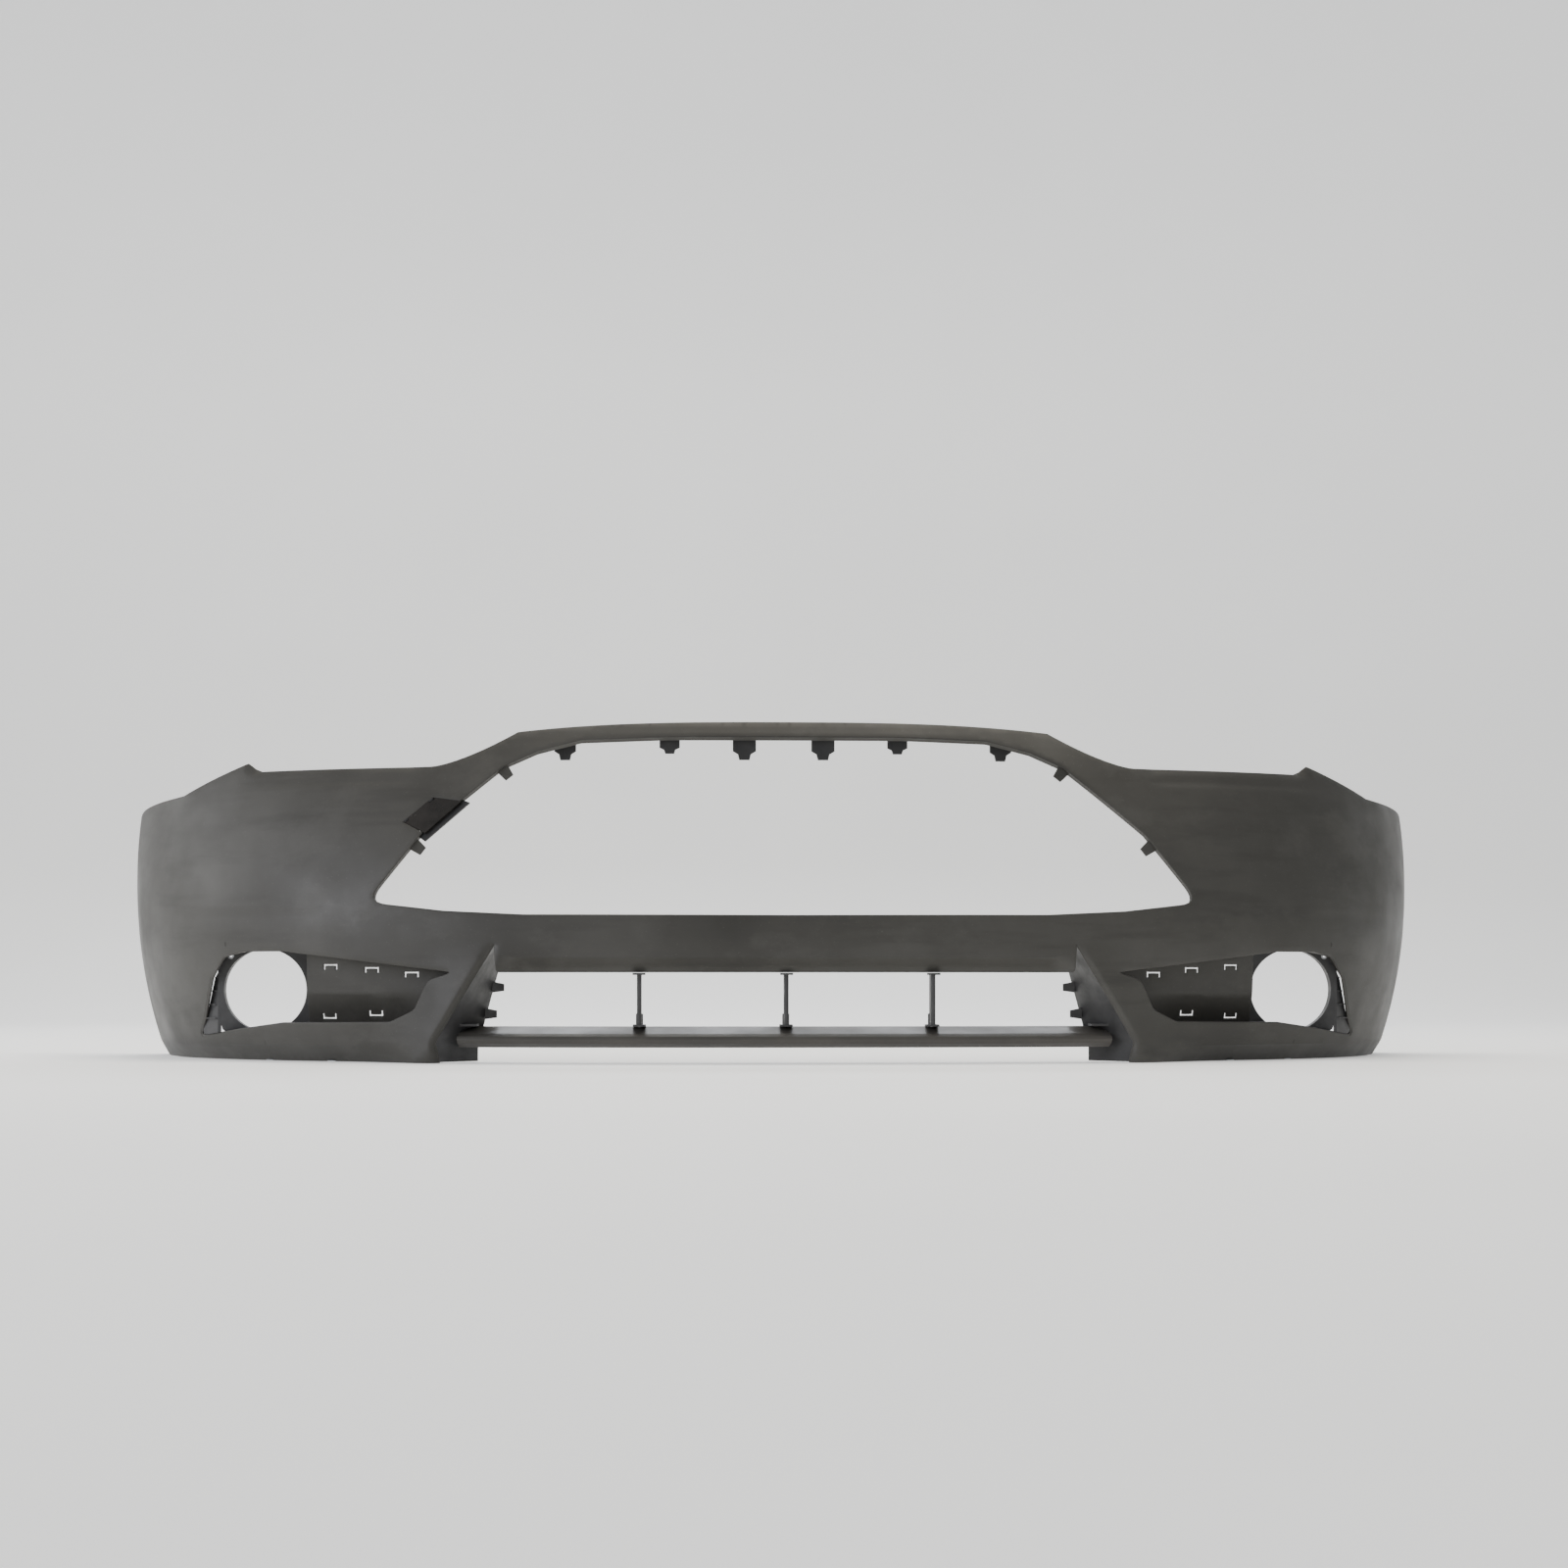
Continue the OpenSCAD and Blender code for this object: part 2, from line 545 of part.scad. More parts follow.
// ---- fog lamp carriers: a plate with a round hole behind each recess ----
carrier_t = 3;
carrier_screw = [[-42, 60], [42, 60], [-12, -66], [-42, -62]];
lamp_hole_a = [45, 165, 285];
lamp_hole_d = 64;
insert_r = 4.4;
insert_l = 9;
module at_fog(side) {
  translate([side * fog_x, fog_plate_y, fog_z]) scale([side, 1, 1]) children();
}
module lamp_holes(r, from, h) {
  for (a = lamp_hole_a) translate([lamp_hole_d * cos(a), from, lamp_hole_d * sin(a)]) rotate([-90, 0, 0])
    cylinder(h = h, r = r, $fn = 36);
}
module fog_carrier(side) {
  color(black_pp) at_fog(side) difference() {
    union() {
      translate([0, carrier_t, 0]) rotate([90, 0, 0]) linear_extrude(carrier_t)
        polygon([[-72, 70], [-72, -60], [-50, -74], [22, -74], [56, -52], [62, -30], [62, 52], [52, 70]]);
      rotate([-90, 0, 0]) cylinder(h = 16, r = fog_r + 3, $fn = 96);
      lamp_holes(insert_r + 2.6, 0, insert_l);
      intersection() {
        translate([0, 0, -64]) union() {
          linear_extrude(110) polygon([[58, 0], [62, 0], [95, 38], [95, 42], [60, 3], [58, 3]]);
          for (z = [26, 44, 62, 80]) translate([0, 0, z]) linear_extrude(1.6)
            polygon([[62, 1], [66, 0.5], [93, 31], [93, 38]]);
        }
        translate([-fog_x, -fog_plate_y, -fog_z]) through() offset(delta = -1.2) recess_outline();
      }
    }
    translate([0, -1, 0]) rotate([-90, 0, 0]) cylinder(h = 20, r = fog_r, $fn = 96);
    lamp_holes(insert_r, -1, insert_l + 2);
    for (p = carrier_screw) translate([p[0], -1, p[1]]) rotate([-90, 0, 0]) cylinder(h = 6, r = 2.6, $fn = 32);
  }
}
module fog_lamp_inserts(side) {
  color(zinc) at_fog(side) difference() {
    lamp_holes(insert_r, 0.2, insert_l - 0.4);
    lamp_holes(2.1, -1, insert_l + 2);
  }
}
module fog_carrier_screws(side) {
  color(zinc) at_fog(side) for (p = carrier_screw) translate([p[0], carrier_t, p[1]]) rotate([-90, 0, 0])
    screw(13, 1.95);
}

// ---- side brackets: a shelf under each wing's upper edge ----
bracket_z = 310;
bracket_hole_x = 862;
bracket_hole_s = [390, 470];
module side_bracket(side) {
  color(black_pp) scale([side, 1, 1]) difference() {
    union() {
      translate([0, 0, bracket_z]) linear_extrude(2.5) polygon(strip(66, 86.5, 24, bracket_z, 5, 36));
      translate([0, 0, bracket_z - 12]) linear_extrude(13) polygon(strip(66, 86.5, 24, bracket_z, 5, 7.5));
      for (s = bracket_hole_s) translate([bracket_hole_x, nose_y + s, bracket_z - 4]) cylinder(h = 5, r = 6, $fn = 36);
    }
    for (s = bracket_hole_s) translate([bracket_hole_x, nose_y + s, bracket_z - 6]) cylinder(h = 12, r = 3.25, $fn = 36);
  }
}

// ---- spring nuts ----
module arch_nuts(side) {
  color(zinc) for (a = arch_nut_a) arch_place(side, a) spring_nut(wall + 0.3);
}
module undertray_nuts(side) {
  color(zinc) for (x = tray_x) let (p = tray_at(side * x), q = level_at(plan_t(side * x, 2), 2, tray_in + 12))
    translate([p[0], p[1], tray_z + wall / 2]) rotate([180, 0, atan2(q[1] - p[1], q[0] - p[0])])
    spring_nut(wall + 0.3);
}

cover_skin();
lower_lip();
intake_strut(strut_x[0]);  // intake_strut_left
intake_strut(strut_x[1]);  // intake_strut_centre
intake_strut(strut_x[2]);  // intake_strut_right
strut_screws();
lip_screws();
tow_eye_cover();
tow_eye_frame();
grille_rail();
rail_screws();
fog_carrier(left);  // fog_carrier_left
fog_carrier(right);  // fog_carrier_right
fog_carrier_screws(left);  // fog_carrier_screws_left
fog_carrier_screws(right);  // fog_carrier_screws_right
fog_lamp_inserts(left);  // fog_lamp_inserts_left
fog_lamp_inserts(right);  // fog_lamp_inserts_right
side_bracket(left);  // side_bracket_left
side_bracket(right);  // side_bracket_right
arch_nuts(left);  // arch_nuts_left
arch_nuts(right);  // arch_nuts_right
undertray_nuts(left);  // undertray_nuts_left
undertray_nuts(right);  // undertray_nuts_right
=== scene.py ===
"""Looks of a front bumper cover: a primed moulded skin over its black inner pieces, on a pale floor."""

from __future__ import annotations

import json
import logging
import math
from dataclasses import dataclass
from enum import Enum
from typing import Callable, Sequence

import bmesh
import bpy
import numpy as np
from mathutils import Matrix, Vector
from mathutils.geometry import delaunay_2d_cdt

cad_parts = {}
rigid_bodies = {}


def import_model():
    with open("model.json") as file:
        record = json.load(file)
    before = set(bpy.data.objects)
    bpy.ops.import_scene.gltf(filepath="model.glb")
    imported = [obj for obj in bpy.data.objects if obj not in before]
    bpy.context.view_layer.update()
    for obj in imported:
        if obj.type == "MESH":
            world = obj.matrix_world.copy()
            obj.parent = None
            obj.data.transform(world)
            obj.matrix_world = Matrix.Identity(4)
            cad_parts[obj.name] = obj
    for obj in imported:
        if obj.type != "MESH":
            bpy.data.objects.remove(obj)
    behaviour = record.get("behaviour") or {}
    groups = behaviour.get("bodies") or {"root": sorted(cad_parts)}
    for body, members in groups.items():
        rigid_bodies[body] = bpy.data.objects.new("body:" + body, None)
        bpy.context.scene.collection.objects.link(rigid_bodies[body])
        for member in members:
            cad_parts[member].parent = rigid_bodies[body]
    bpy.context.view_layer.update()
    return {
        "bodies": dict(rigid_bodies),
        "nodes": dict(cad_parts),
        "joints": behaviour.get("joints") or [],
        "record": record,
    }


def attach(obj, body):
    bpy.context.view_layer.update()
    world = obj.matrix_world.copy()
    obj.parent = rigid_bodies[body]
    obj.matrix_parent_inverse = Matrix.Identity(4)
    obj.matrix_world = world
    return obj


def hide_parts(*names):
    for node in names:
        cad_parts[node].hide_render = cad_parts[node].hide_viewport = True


LOG = logging.getLogger("bumper_cover")
MM = 0.001


class Finish(Enum):
    """The record's material slots."""

    PRIMER = "skin"
    BLACK = "black_pp"
    GLOSS = "gloss_black"
    ZINC = "zinc"


class Side(Enum):
    """The two sides of the car, by the sign of X."""

    LEFT = -1
    RIGHT = 1


def linear(code: str) -> tuple[float, float, float, float]:
    """Turns a hex colour into linear light.

    Args:
        code: A colour such as "#5a5955".

    Returns:
        Red, green, blue and alpha.
    """
    parts = [int(code[i : i + 2], 16) / 255 for i in (1, 3, 5)]
    red, green, blue = (c / 12.92 if c <= 0.04045 else ((c + 0.055) / 1.055) ** 2.4 for c in parts)
    return red, green, blue, 1.0


@dataclass(frozen=True)
class Body:
    """The body surface in millimetres: a plan curve that leans back, with two raised fins."""

    half_w: float = 910.0
    cover_h: float = 438.0
    cover_d: float = 560.0
    wall: float = 3.0
    power: float = 2.5
    nose_z: float = 150.0
    top_lean: float = 120.0
    chin_tuck: float = 14.0
    belt_z: float = 260.0
    sill_tuck: float = 42.0
    arch_r: float = 345.0
    arch_z: float = 130.0
    fin_rise: float = 26.0
    apex_z: float = 151.0
    apex_x: float = 366.0
    foot_x: float = 442.0

    @property
    def nose_y(self) -> float:
        """Place of the nose along Y."""
        return -self.cover_d / 2

    @property
    def tail(self) -> float:
        """Depth at which the plan curve would close."""
        return self.cover_d * 1.055

    @property
    def arch_s(self) -> float:
        """Depth of the wheel arch's middle."""
        return self.cover_d + math.sqrt(self.arch_r**2 - (322 - self.arch_z) ** 2)

    def lean(self, z: np.ndarray) -> np.ndarray:
        """How far the face stands behind the nose at a height."""
        up = self.top_lean * (np.clip(z - self.nose_z, 0, None) / (self.cover_h - self.nose_z)) ** 1.7
        down = self.chin_tuck * (np.clip(self.nose_z - z, 0, None) / self.nose_z) ** 2
        return up + down

    def tuck(self, z: np.ndarray) -> np.ndarray:
        """How much narrower the cover is at a height."""
        up = 22 * (np.clip(z - self.belt_z, 0, None) / (self.cover_h - self.belt_z)) ** 2
        down = self.sill_tuck * (np.clip(self.belt_z - np.clip(z, 0, None), 0, None) / self.belt_z) ** 2.2
        return up + down

    def ridge_x(self, z: np.ndarray) -> np.ndarray:
        """Distance of a fin's ridge from the middle."""
        return self.apex_x + (self.foot_x - self.apex_x) * (self.apex_z - z) / (self.apex_z - 26)

    def fin_edge(self, z: float) -> float:
        """Edge of the lower intake at a height."""
        return float(self.ridge_x(z)) if z > 26 else self.foot_x - 8 * (26 - z) / 35

    def edge_x(self, z: np.ndarray) -> np.ndarray:
        """Edge of the lower intake at each height."""
        return np.where(z > 26, self.ridge_x(z), self.foot_x - 8 * (26 - z) / 35)

    def fin(self, x: np.ndarray, z: np.ndarray) -> np.ndarray:
        """How far a fin stands proud of the face."""
        away = np.abs(np.abs(x) - self.ridge_x(z))
        low = np.clip(self.apex_z - np.clip(z, 0, None), 0, None) / self.apex_z
        return self.fin_rise * low**0.8 * np.exp(-((away / 55) ** 1.6))

    def turn(self, x: np.ndarray, z: np.ndarray) -> np.ndarray:
        """Angle along the plan curve, in radians, for a place in the front view."""
        part = np.clip(np.abs(x) / (self.half_w - self.tuck(z)), 0, 1)
        return np.sign(x) * np.arcsin(part ** (self.power / 2))

    def turn_side(self, s: np.ndarray, z: np.ndarray) -> np.ndarray:
        """Angle along the plan curve for a place in the side view."""
        part = 1 - (s - self.lean(z)) / (self.tail - self.lean(z))
        return np.arccos(np.clip(part, 0, 1) ** (self.power / 2))

    def plain(self, t: np.ndarray, z: np.ndarray) -> np.ndarray:
        """Points of the face without fins or creases.

        Args:
            t: Angles along the plan curve.
            z: Heights.

        Returns:
            Points of the surface without fins and creases.
        """
        part = np.clip(np.cos(t), 0, None) ** (2 / self.power)
        side = np.sign(t) * np.abs(np.sin(t)) ** (2 / self.power)
        y = self.nose_y + self.lean(z) + (self.tail - self.lean(z)) * (1 - part)
        return np.stack([(self.half_w - self.tuck(z)) * side, y, z], axis=-1)

    def inward(self, t: np.ndarray, z: np.ndarray) -> np.ndarray:
        """Unit normals that point into the cover.

        Args:
            t: Angles along the plan curve.
            z: Heights.

        Returns:
            Unit vectors into the cover.
        """
        step = np.minimum(math.radians(0.4), math.radians(89.9) - np.abs(t))
        up = self.plain(t, z + 1) - self.plain(t, z - 1)
        along = self.plain(t + step, z) - self.plain(t - step, z)
        normal = np.cross(up, along)
        return normal / np.linalg.norm(normal, axis=-1, keepdims=True)

    def crease(self, x: np.ndarray, z: np.ndarray) -> np.ndarray:
        """How far the moulded creases set the face back.

        Args:
            x: Distances from the middle.
            z: Heights.

        Returns:
            How far the face is set back.
        """
        away = np.abs(x)
        bar = np.clip(133 - z, 0, None) * 0.95 * np.clip((self.apex_x - 2 - away) / 30, 0, 1)
        sill = np.clip(21 - z, 0, None) * 1.05 * np.clip((away - 470) / 90, 0, 1)
        lamp = 3.2 * np.exp(-(((z - 366) / 4.5) ** 2)) * np.clip((away - 470) / 30, 0, 1)
        lamp = lamp * np.clip((715 - away) / 40, 0, 1)
        rim = 5.0 * (np.clip(z - 372, 0, 10) / 7) ** 2 * np.clip((away - 462) / 20, 0, 1)
        shoulder = 5.0 * np.clip(1 - (away - self.edge_x(z)) / 9, 0, 1) ** 2 * (z < self.apex_z)
        shoulder = shoulder * np.clip((self.apex_z - z) / 25, 0, 1) * np.clip((away - 365) / 2, 0, 1)
        cheek = 1.6 * np.exp(-np.clip(196 - z, 0, None) / 12) * (z < 196) * np.clip((away - 560) / 60, 0, 1)
        return bar + sill + lamp + rim * np.clip((708 - away) / 20, 0, 1) + cheek + shoulder

    def face(self, t: np.ndarray, z: np.ndarray) -> np.ndarray:
        """Points of the finished outer face."""
        points = self.plain(t, z)
        points[..., 1] += self.crease(points[..., 0], z) - self.fin(points[..., 0], z)
        return points

    def sunk(self, x: float, z: float, depth: float) -> np.ndarray:
        """The point a depth under the face, for a place in the front view.

        Args:
            x: Place across the cover.
            z: Height.
            depth: Depth under the face.

        Returns:
            The point.
        """
        t, h = self.turn(np.array(x), np.array(z)), np.array(z)
        points = self.plain(t, h)
        points[..., 1] -= self.fin(points[..., 0], h)
        return points + depth * self.inward(t, h)


BODY = Body()


class Chart:
    """A flat map of the body: distance along the plan curve against height, both in millimetres."""

    def __init__(self, body: Body) -> None:
        """Measures the plan curve once at mid height.

        Args:
            body: The surface that is mapped.
        """
        turns = np.radians(np.linspace(-89.95, 89.95, 3001))
        line = body.plain(turns, np.full_like(turns, 200.0))
        steps = np.linalg.norm(np.diff(line, axis=0), axis=1)
        self.run = np.concatenate([[0], np.cumsum(steps)])
        self.run -= self.run[-1] / 2
        self.turns = turns
        self.body = body

    def front(self, points: Sequence[Sequence[float]]) -> np.ndarray:
        """Maps front view places (x, z)."""
        flat = np.asarray(points, dtype=float)
        turns = self.body.turn(flat[:, 0], flat[:, 1])
        return np.stack([np.interp(turns, self.turns, self.run), flat[:, 1]], 1)

    def flank(self, points: Sequence[Sequence[float]]) -> np.ndarray:
        """Maps side view places (depth, z) on the +X side."""
        flat = np.asarray(points, dtype=float)
        turn = self.body.turn_side(flat[:, 0], flat[:, 1])
        return np.stack([np.interp(turn, self.turns, self.run), flat[:, 1]], 1)

    def turn(self, run: np.ndarray) -> np.ndarray:
        """Goes back from distance to angle."""
        return np.interp(run, self.run, self.turns)


CHART = Chart(BODY)


def dense(points: np.ndarray, step: float, closed: bool = True) -> np.ndarray:
    """Adds points so that no stretch of a line is longer than a step.

    Args:
        points: Corners, one per row.
        step: Longest stretch.
        closed: Whether the last corner joins the first.

    Returns:
        The corners and the added points, in order.
    """
    out = []
    count = len(points)
    for k in range(count if closed else count - 1):
        a, b = points[k], points[(k + 1) % count]
        parts = max(1, int(math.ceil(np.linalg.norm(b - a) / step)))
        out.extend(a + (b - a) * i / parts for i in range(parts))
    if not closed:
        out.append(points[-1])
    return np.array(out)


def rounded(points: Sequence[Sequence[float]], radius: float, parts: int = 5) -> np.ndarray:
    """Rounds the corners of a flat closed outline.

    Args:
        points: Corners.
        radius: Radius of each corner.
        parts: Number of chords in a corner.

    Returns:
        The new outline.
    """
    flat = np.asarray(points, dtype=float)
    out = []
    for k, corner in enumerate(flat):
        before, after = flat[k - 1] - corner, flat[(k + 1) % len(flat)] - corner
        la, lb = np.linalg.norm(before), np.linalg.norm(after)
        if la < 1e-6 or lb < 1e-6:
            continue
        cos = float(np.clip(np.dot(before, after) / (la * lb), -1, 1))
        half = math.acos(cos) / 2
        if half > math.radians(88):
            out.append(corner)
            continue
        cut = min(radius / math.tan(half), la * 0.45, lb * 0.45)
        a, b = corner + before / la * cut, corner + after / lb * cut
        steps = np.linspace(0, 1, parts + 1)
        out.extend((1 - u) ** 2 * a + 2 * u * (1 - u) * corner + u**2 * b for u in steps)
    return np.array(out)


def mirrored(half: Sequence[Sequence[float]]) -> np.ndarray:
    """Closes a half outline with its mirror image in X.

    Args:
        half: Points of the half at +X, from the middle round to the middle.

    Returns:
        The whole closed outline.
    """
    flat = np.asarray(half, dtype=float)
    back = flat[::-1] * [-1, 1]
    keep = np.abs(back[:, 0]) > 1e-6
    return np.concatenate([flat, back[keep]])


def inside(points: np.ndarray, loop: np.ndarray) -> np.ndarray:
    """Says which points lie inside a closed outline.

    Args:
        points: Points to test.
        loop: Closed outline.

    Returns:
        True for each point in the outline.
    """
    result = np.zeros(len(points), dtype=bool)
    px, pz = points[:, 0], points[:, 1]
    for (ax, az), (bx, bz) in zip(loop, np.roll(loop, -1, axis=0)):
        if az == bz:
            continue
        hit = ((az > pz) != (bz > pz)) & (px < (bx - ax) * (pz - az) / (bz - az) + ax)
        result ^= hit
    return result


def away_from(points: np.ndarray, loop: np.ndarray) -> np.ndarray:
    """Distance of each point from a closed outline's nearest corner.

    Args:
        points: Points to measure from.
        loop: Closed outline.

    Returns:
        Distance of each point to the nearest corner.
    """
    best = np.full(len(points), 1e9)
    for corner in loop:
        best = np.minimum(best, np.hypot(points[:, 0] - corner[0], points[:, 1] - corner[1]))
    return best


class Outlines:
    """Every outline of the skin, in the front view or mapped on the chart."""

    GRILLE = ((0, 185), (330, 186), (431, 191), (534, 203), (463, 293), (413, 336), (361, 380),
              (318, 400), (262, 415), (150, 419), (0, 419))
    RECESS = ((414, 115), (548, 131), (643, 143), (700, 143), (730, 136), (748, 108), (762, 54), (772, 30),
              (711, 40), (646, 49), (500, 51), (468, 66), (450, 104))
    SLOTS = ((586, 122), (530, 118), (477, 112), (590, 58), (526, 62))
    TOW = ((-450, 338), (-412, 333), (-458, 292), (-487, 307))

    @staticmethod
    def top(x: float) -> float:
        """Height of the upper edge.

        Args:
            x: Distance from the middle.

        Returns:
            Height in millimetres.
        """
        if x < 343:
            return 438 - 13 * (x / 343) ** 3
        if x < 455:
            return 379 + 46 * ((455 - x) / 112) ** 1.45
        return 379 if x < 690 else 379 + 12 * (x - 690) / 16

    @classmethod
    def upper_edge(cls) -> np.ndarray:
        """The upper edge on the chart, from the middle to +X."""
        xs = np.concatenate([np.linspace(0, 343, 30), np.linspace(350, 455, 16), np.linspace(470, 706, 24)])
        return CHART.front([(x, cls.top(x)) for x in xs])

    @classmethod
    def flank_edge(cls) -> np.ndarray:
        """The rear edge on the chart, down the headlamp corner and around the wheel arch.

        Returns:
            Points on the chart.
        """
        line = [(285, 352), (300, 350), (400, 341), (557, 324)]
        low = math.asin((BODY.arch_z - 31) / BODY.arch_r)
        for k in range(57):
            angle = math.asin(192 / BODY.arch_r) + (-low - math.asin(192 / BODY.arch_r)) * k / 56
            line.append((BODY.arch_s - BODY.arch_r * math.cos(angle),
                         BODY.arch_z + BODY.arch_r * math.sin(angle)))
        line += [(510, 11), (494, 5), (486, 1.3)]
        return CHART.flank(line)

    @classmethod
    def lower_edge(cls) -> np.ndarray:
        """The lower edge on the chart, from the sill to the middle of the bar.

        Returns:
            Points on the chart.
        """
        sill = CHART.front([(x, 1.3) for x in np.linspace(835, 436.5, 60)])
        fin = CHART.front([(BODY.fin_edge(z), z) for z in np.linspace(1.3, BODY.apex_z, 40)][1:])
        bar = CHART.front([(363, 117), (0, 117)])
        return np.concatenate([sill, fin, bar])

    @classmethod
    def rim(cls) -> np.ndarray:
        """The outer edge of the whole skin on the chart."""
        half = np.concatenate([cls.upper_edge(), cls.flank_edge(), cls.lower_edge()])
        return dense(mirrored(half), 5.0)

    @classmethod
    def grille(cls) -> np.ndarray:
        """The upper opening on the chart."""
        flat = rounded(mirrored(cls.GRILLE), 16, 7)
        return CHART.front(dense(flat, 5.0))

    @classmethod
    def recess(cls, side: Side, grow: float = 0.0) -> np.ndarray:
        """A fog lamp recess in the front view.

        Args:
            side: Which recess.
            grow: How far the outline is pushed outwards.

        Returns:
            Points in the front view.
        """
        flat = dense(rounded(cls.RECESS, 15, 6), 5.0)
        if grow:
            middle = flat.mean(axis=0)
            flat = flat + (flat - middle) / np.linalg.norm(flat - middle, axis=1, keepdims=True) * grow
        return flat * [side.value, 1]

    @classmethod
    def tow(cls) -> np.ndarray:
        """The towing eye opening on the chart, with a gap of a millimetre all round.

        Returns:
            Points on the chart.
        """
        flat = np.asarray(cls.TOW, dtype=float)
        middle = flat.mean(axis=0)
        ring = flat + (flat - middle) / np.linalg.norm(flat - middle, axis=1, keepdims=True) * 1.9
        return CHART.front(dense(ring, 5.0))


class Shell:
    """Collects closed strips and sheets in one mesh, all in millimetres."""

    def __init__(self, name: str) -> None:
        """Starts an empty mesh."""
        self.name = name
        self.bm = bmesh.new()

    def sheet(self, loops: Sequence[np.ndarray], step: float, outer: Callable, normal: Callable,
              wall: float = 3.0, round_r: float = 1.3, folds: Sequence[np.ndarray] = ()) -> None:
        """Adds a moulded wall that fills the first outline and leaves the others open.

        Args:
            loops: Outlines on the chart: the outer edge, then the openings.
            step: Distance between grid points.
            outer: Gives outer points from (angle, height).
            normal: Gives inward normals from (angle, height).
            wall: Thickness.
            round_r: Radius on every edge.
            folds: Open lines on the chart that the triangles follow.
        """
        low, high = loops[0].min(axis=0), loops[0].max(axis=0)
        grid = np.stack(np.meshgrid(np.arange(low[0] + step / 2, high[0], step),
                                    np.arange(low[1] + step / 2, high[1], step)), -1).reshape(-1, 2)
        keep = inside(grid, loops[0])
        for loop in loops[1:]:
            keep &= ~inside(grid, loop)
        grid = grid[keep]
        for line in (*loops, *folds):
            grid = grid[away_from(grid, line) > step * 0.55]
        flat, edges = [], []
        for loop in loops:
            base = len(flat)
            flat.extend(loop.tolist())
            edges.extend((base + i, base + (i + 1) % len(loop)) for i in range(len(loop)))
        for line in folds:
            base = len(flat)
            flat.extend(line.tolist())
            edges.extend((base + i, base + i + 1) for i in range(len(line) - 1))
        flat.extend(grid.tolist())
        points, _, faces, *_ = delaunay_2d_cdt([Vector(p) for p in flat], edges, [], 0, 1e-4)
        points = np.array([tuple(p) for p in points])
        faces = np.array(faces)
        middle = points[faces].mean(axis=1)
        keep = inside(middle, loops[0])
        for loop in loops[1:]:
            keep &= ~inside(middle, loop)
        faces = faces[keep]
        turn = CHART.turn(points[:, 0])
        front = outer(turn, points[:, 1])
        inner = normal(turn, points[:, 1])
        self._solid(front, inner, faces, wall, round_r)

    def _solid(self, front: np.ndarray, inner: np.ndarray, faces: np.ndarray, wall: float, r: float) -> None:
        """Turns triangles into a wall of even thickness with rounded edges.

        Args:
            front: Points of the outer face.
            inner: Points of the inner face.
            faces: Triangles between the points.
            wall: Wall thickness.
            r: Radius of the rounded rim.
        """
        used = np.unique(faces)
        index = {int(k): i for i, k in enumerate(used)}
        a = [self.bm.verts.new(front[k]) for k in used]
        b = [self.bm.verts.new(front[k] + inner[k] * wall) for k in used]
        area = np.cross(front[faces[:, 1]] - front[faces[:, 0]], front[faces[:, 2]] - front[faces[:, 0]])
        wrong = (area * inner[faces[:, 0]]).sum(axis=1) > 0
        border: dict[tuple[int, int], np.ndarray] = {}
        for face, flip in zip(faces, wrong):
            ids = [index[int(k)] for k in (face[::-1] if flip else face)]
            self.bm.faces.new([a[k] for k in ids])
            self.bm.faces.new([b[k] for k in reversed(ids)])
            middle = front[face].mean(axis=0)
            for i in range(3):
                edge = (ids[i], ids[(i + 1) % 3])
                if (edge[1], edge[0]) in border:
                    del border[(edge[1], edge[0])]
                else:
                    border[edge] = middle
        out = np.zeros((len(used), 3))
        for (i, j), middle in border.items():
            p, q = front[used[i]], front[used[j]]
            along = (q - p) / max(1e-9, np.linalg.norm(q - p))
            n = inner[used[i]]
            side = np.cross(along, n)
            side /= max(1e-9, np.linalg.norm(side))
            if np.dot(side, (p + q) / 2 - middle) < 0:
                side = -side
            out[i] += side
            out[j] += side
        edge_ids = sorted({k for pair in border for k in pair})
        rings: dict[int, list] = {}
        for i in edge_ids:
            side = out[i] / max(1e-9, np.linalg.norm(out[i]))
            p, n = front[used[i]], inner[used[i]]
            ring = [a[i]]
            for angle in (30, 60, 90):
                c, s = math.cos(math.radians(angle)), math.sin(math.radians(angle))
                ring.append(self.bm.verts.new(p + side * r * s + n * r * (1 - c)))
            for angle in (90, 60, 30):
                c, s = math.cos(math.radians(angle)), math.sin(math.radians(angle))
                ring.append(self.bm.verts.new(p + side * r * s + n * (wall - r * (1 - c))))
            ring.append(b[i])
            rings[i] = ring
        for i, j in border:
            for k in range(len(rings[i]) - 1):
                self.bm.faces.new([rings[j][k], rings[i][k], rings[i][k + 1], rings[j][k + 1]])

    def sweep(self, sections: np.ndarray, closed_line: bool = False) -> None:
        """Joins closed cross sections along a line.

        Args:
            sections: Array of shape (places, corners, 3).
            closed_line: Whether the last section joins the first.
        """
        rows = [[self.bm.verts.new(p) for p in section] for section in sections]
        count = len(rows[0])
        for k in range(len(rows) if closed_line else len(rows) - 1):
            here, there = rows[k], rows[(k + 1) % len(rows)]
            for i in range(count):
                self.bm.faces.new([here[i], here[(i + 1) % count], there[(i + 1) % count], there[i]])
        if not closed_line:
            self.bm.faces.new(rows[0][::-1])
            self.bm.faces.new(rows[-1])

    def prism(self, outline: Sequence[Sequence[float]], lift: Callable, depth: np.ndarray) -> None:
        """Adds a flat plate: an outline placed by lift, pushed through depth."""
        base = [lift(p) for p in outline]
        self.sweep(np.array([base, [p + depth for p in base]]))

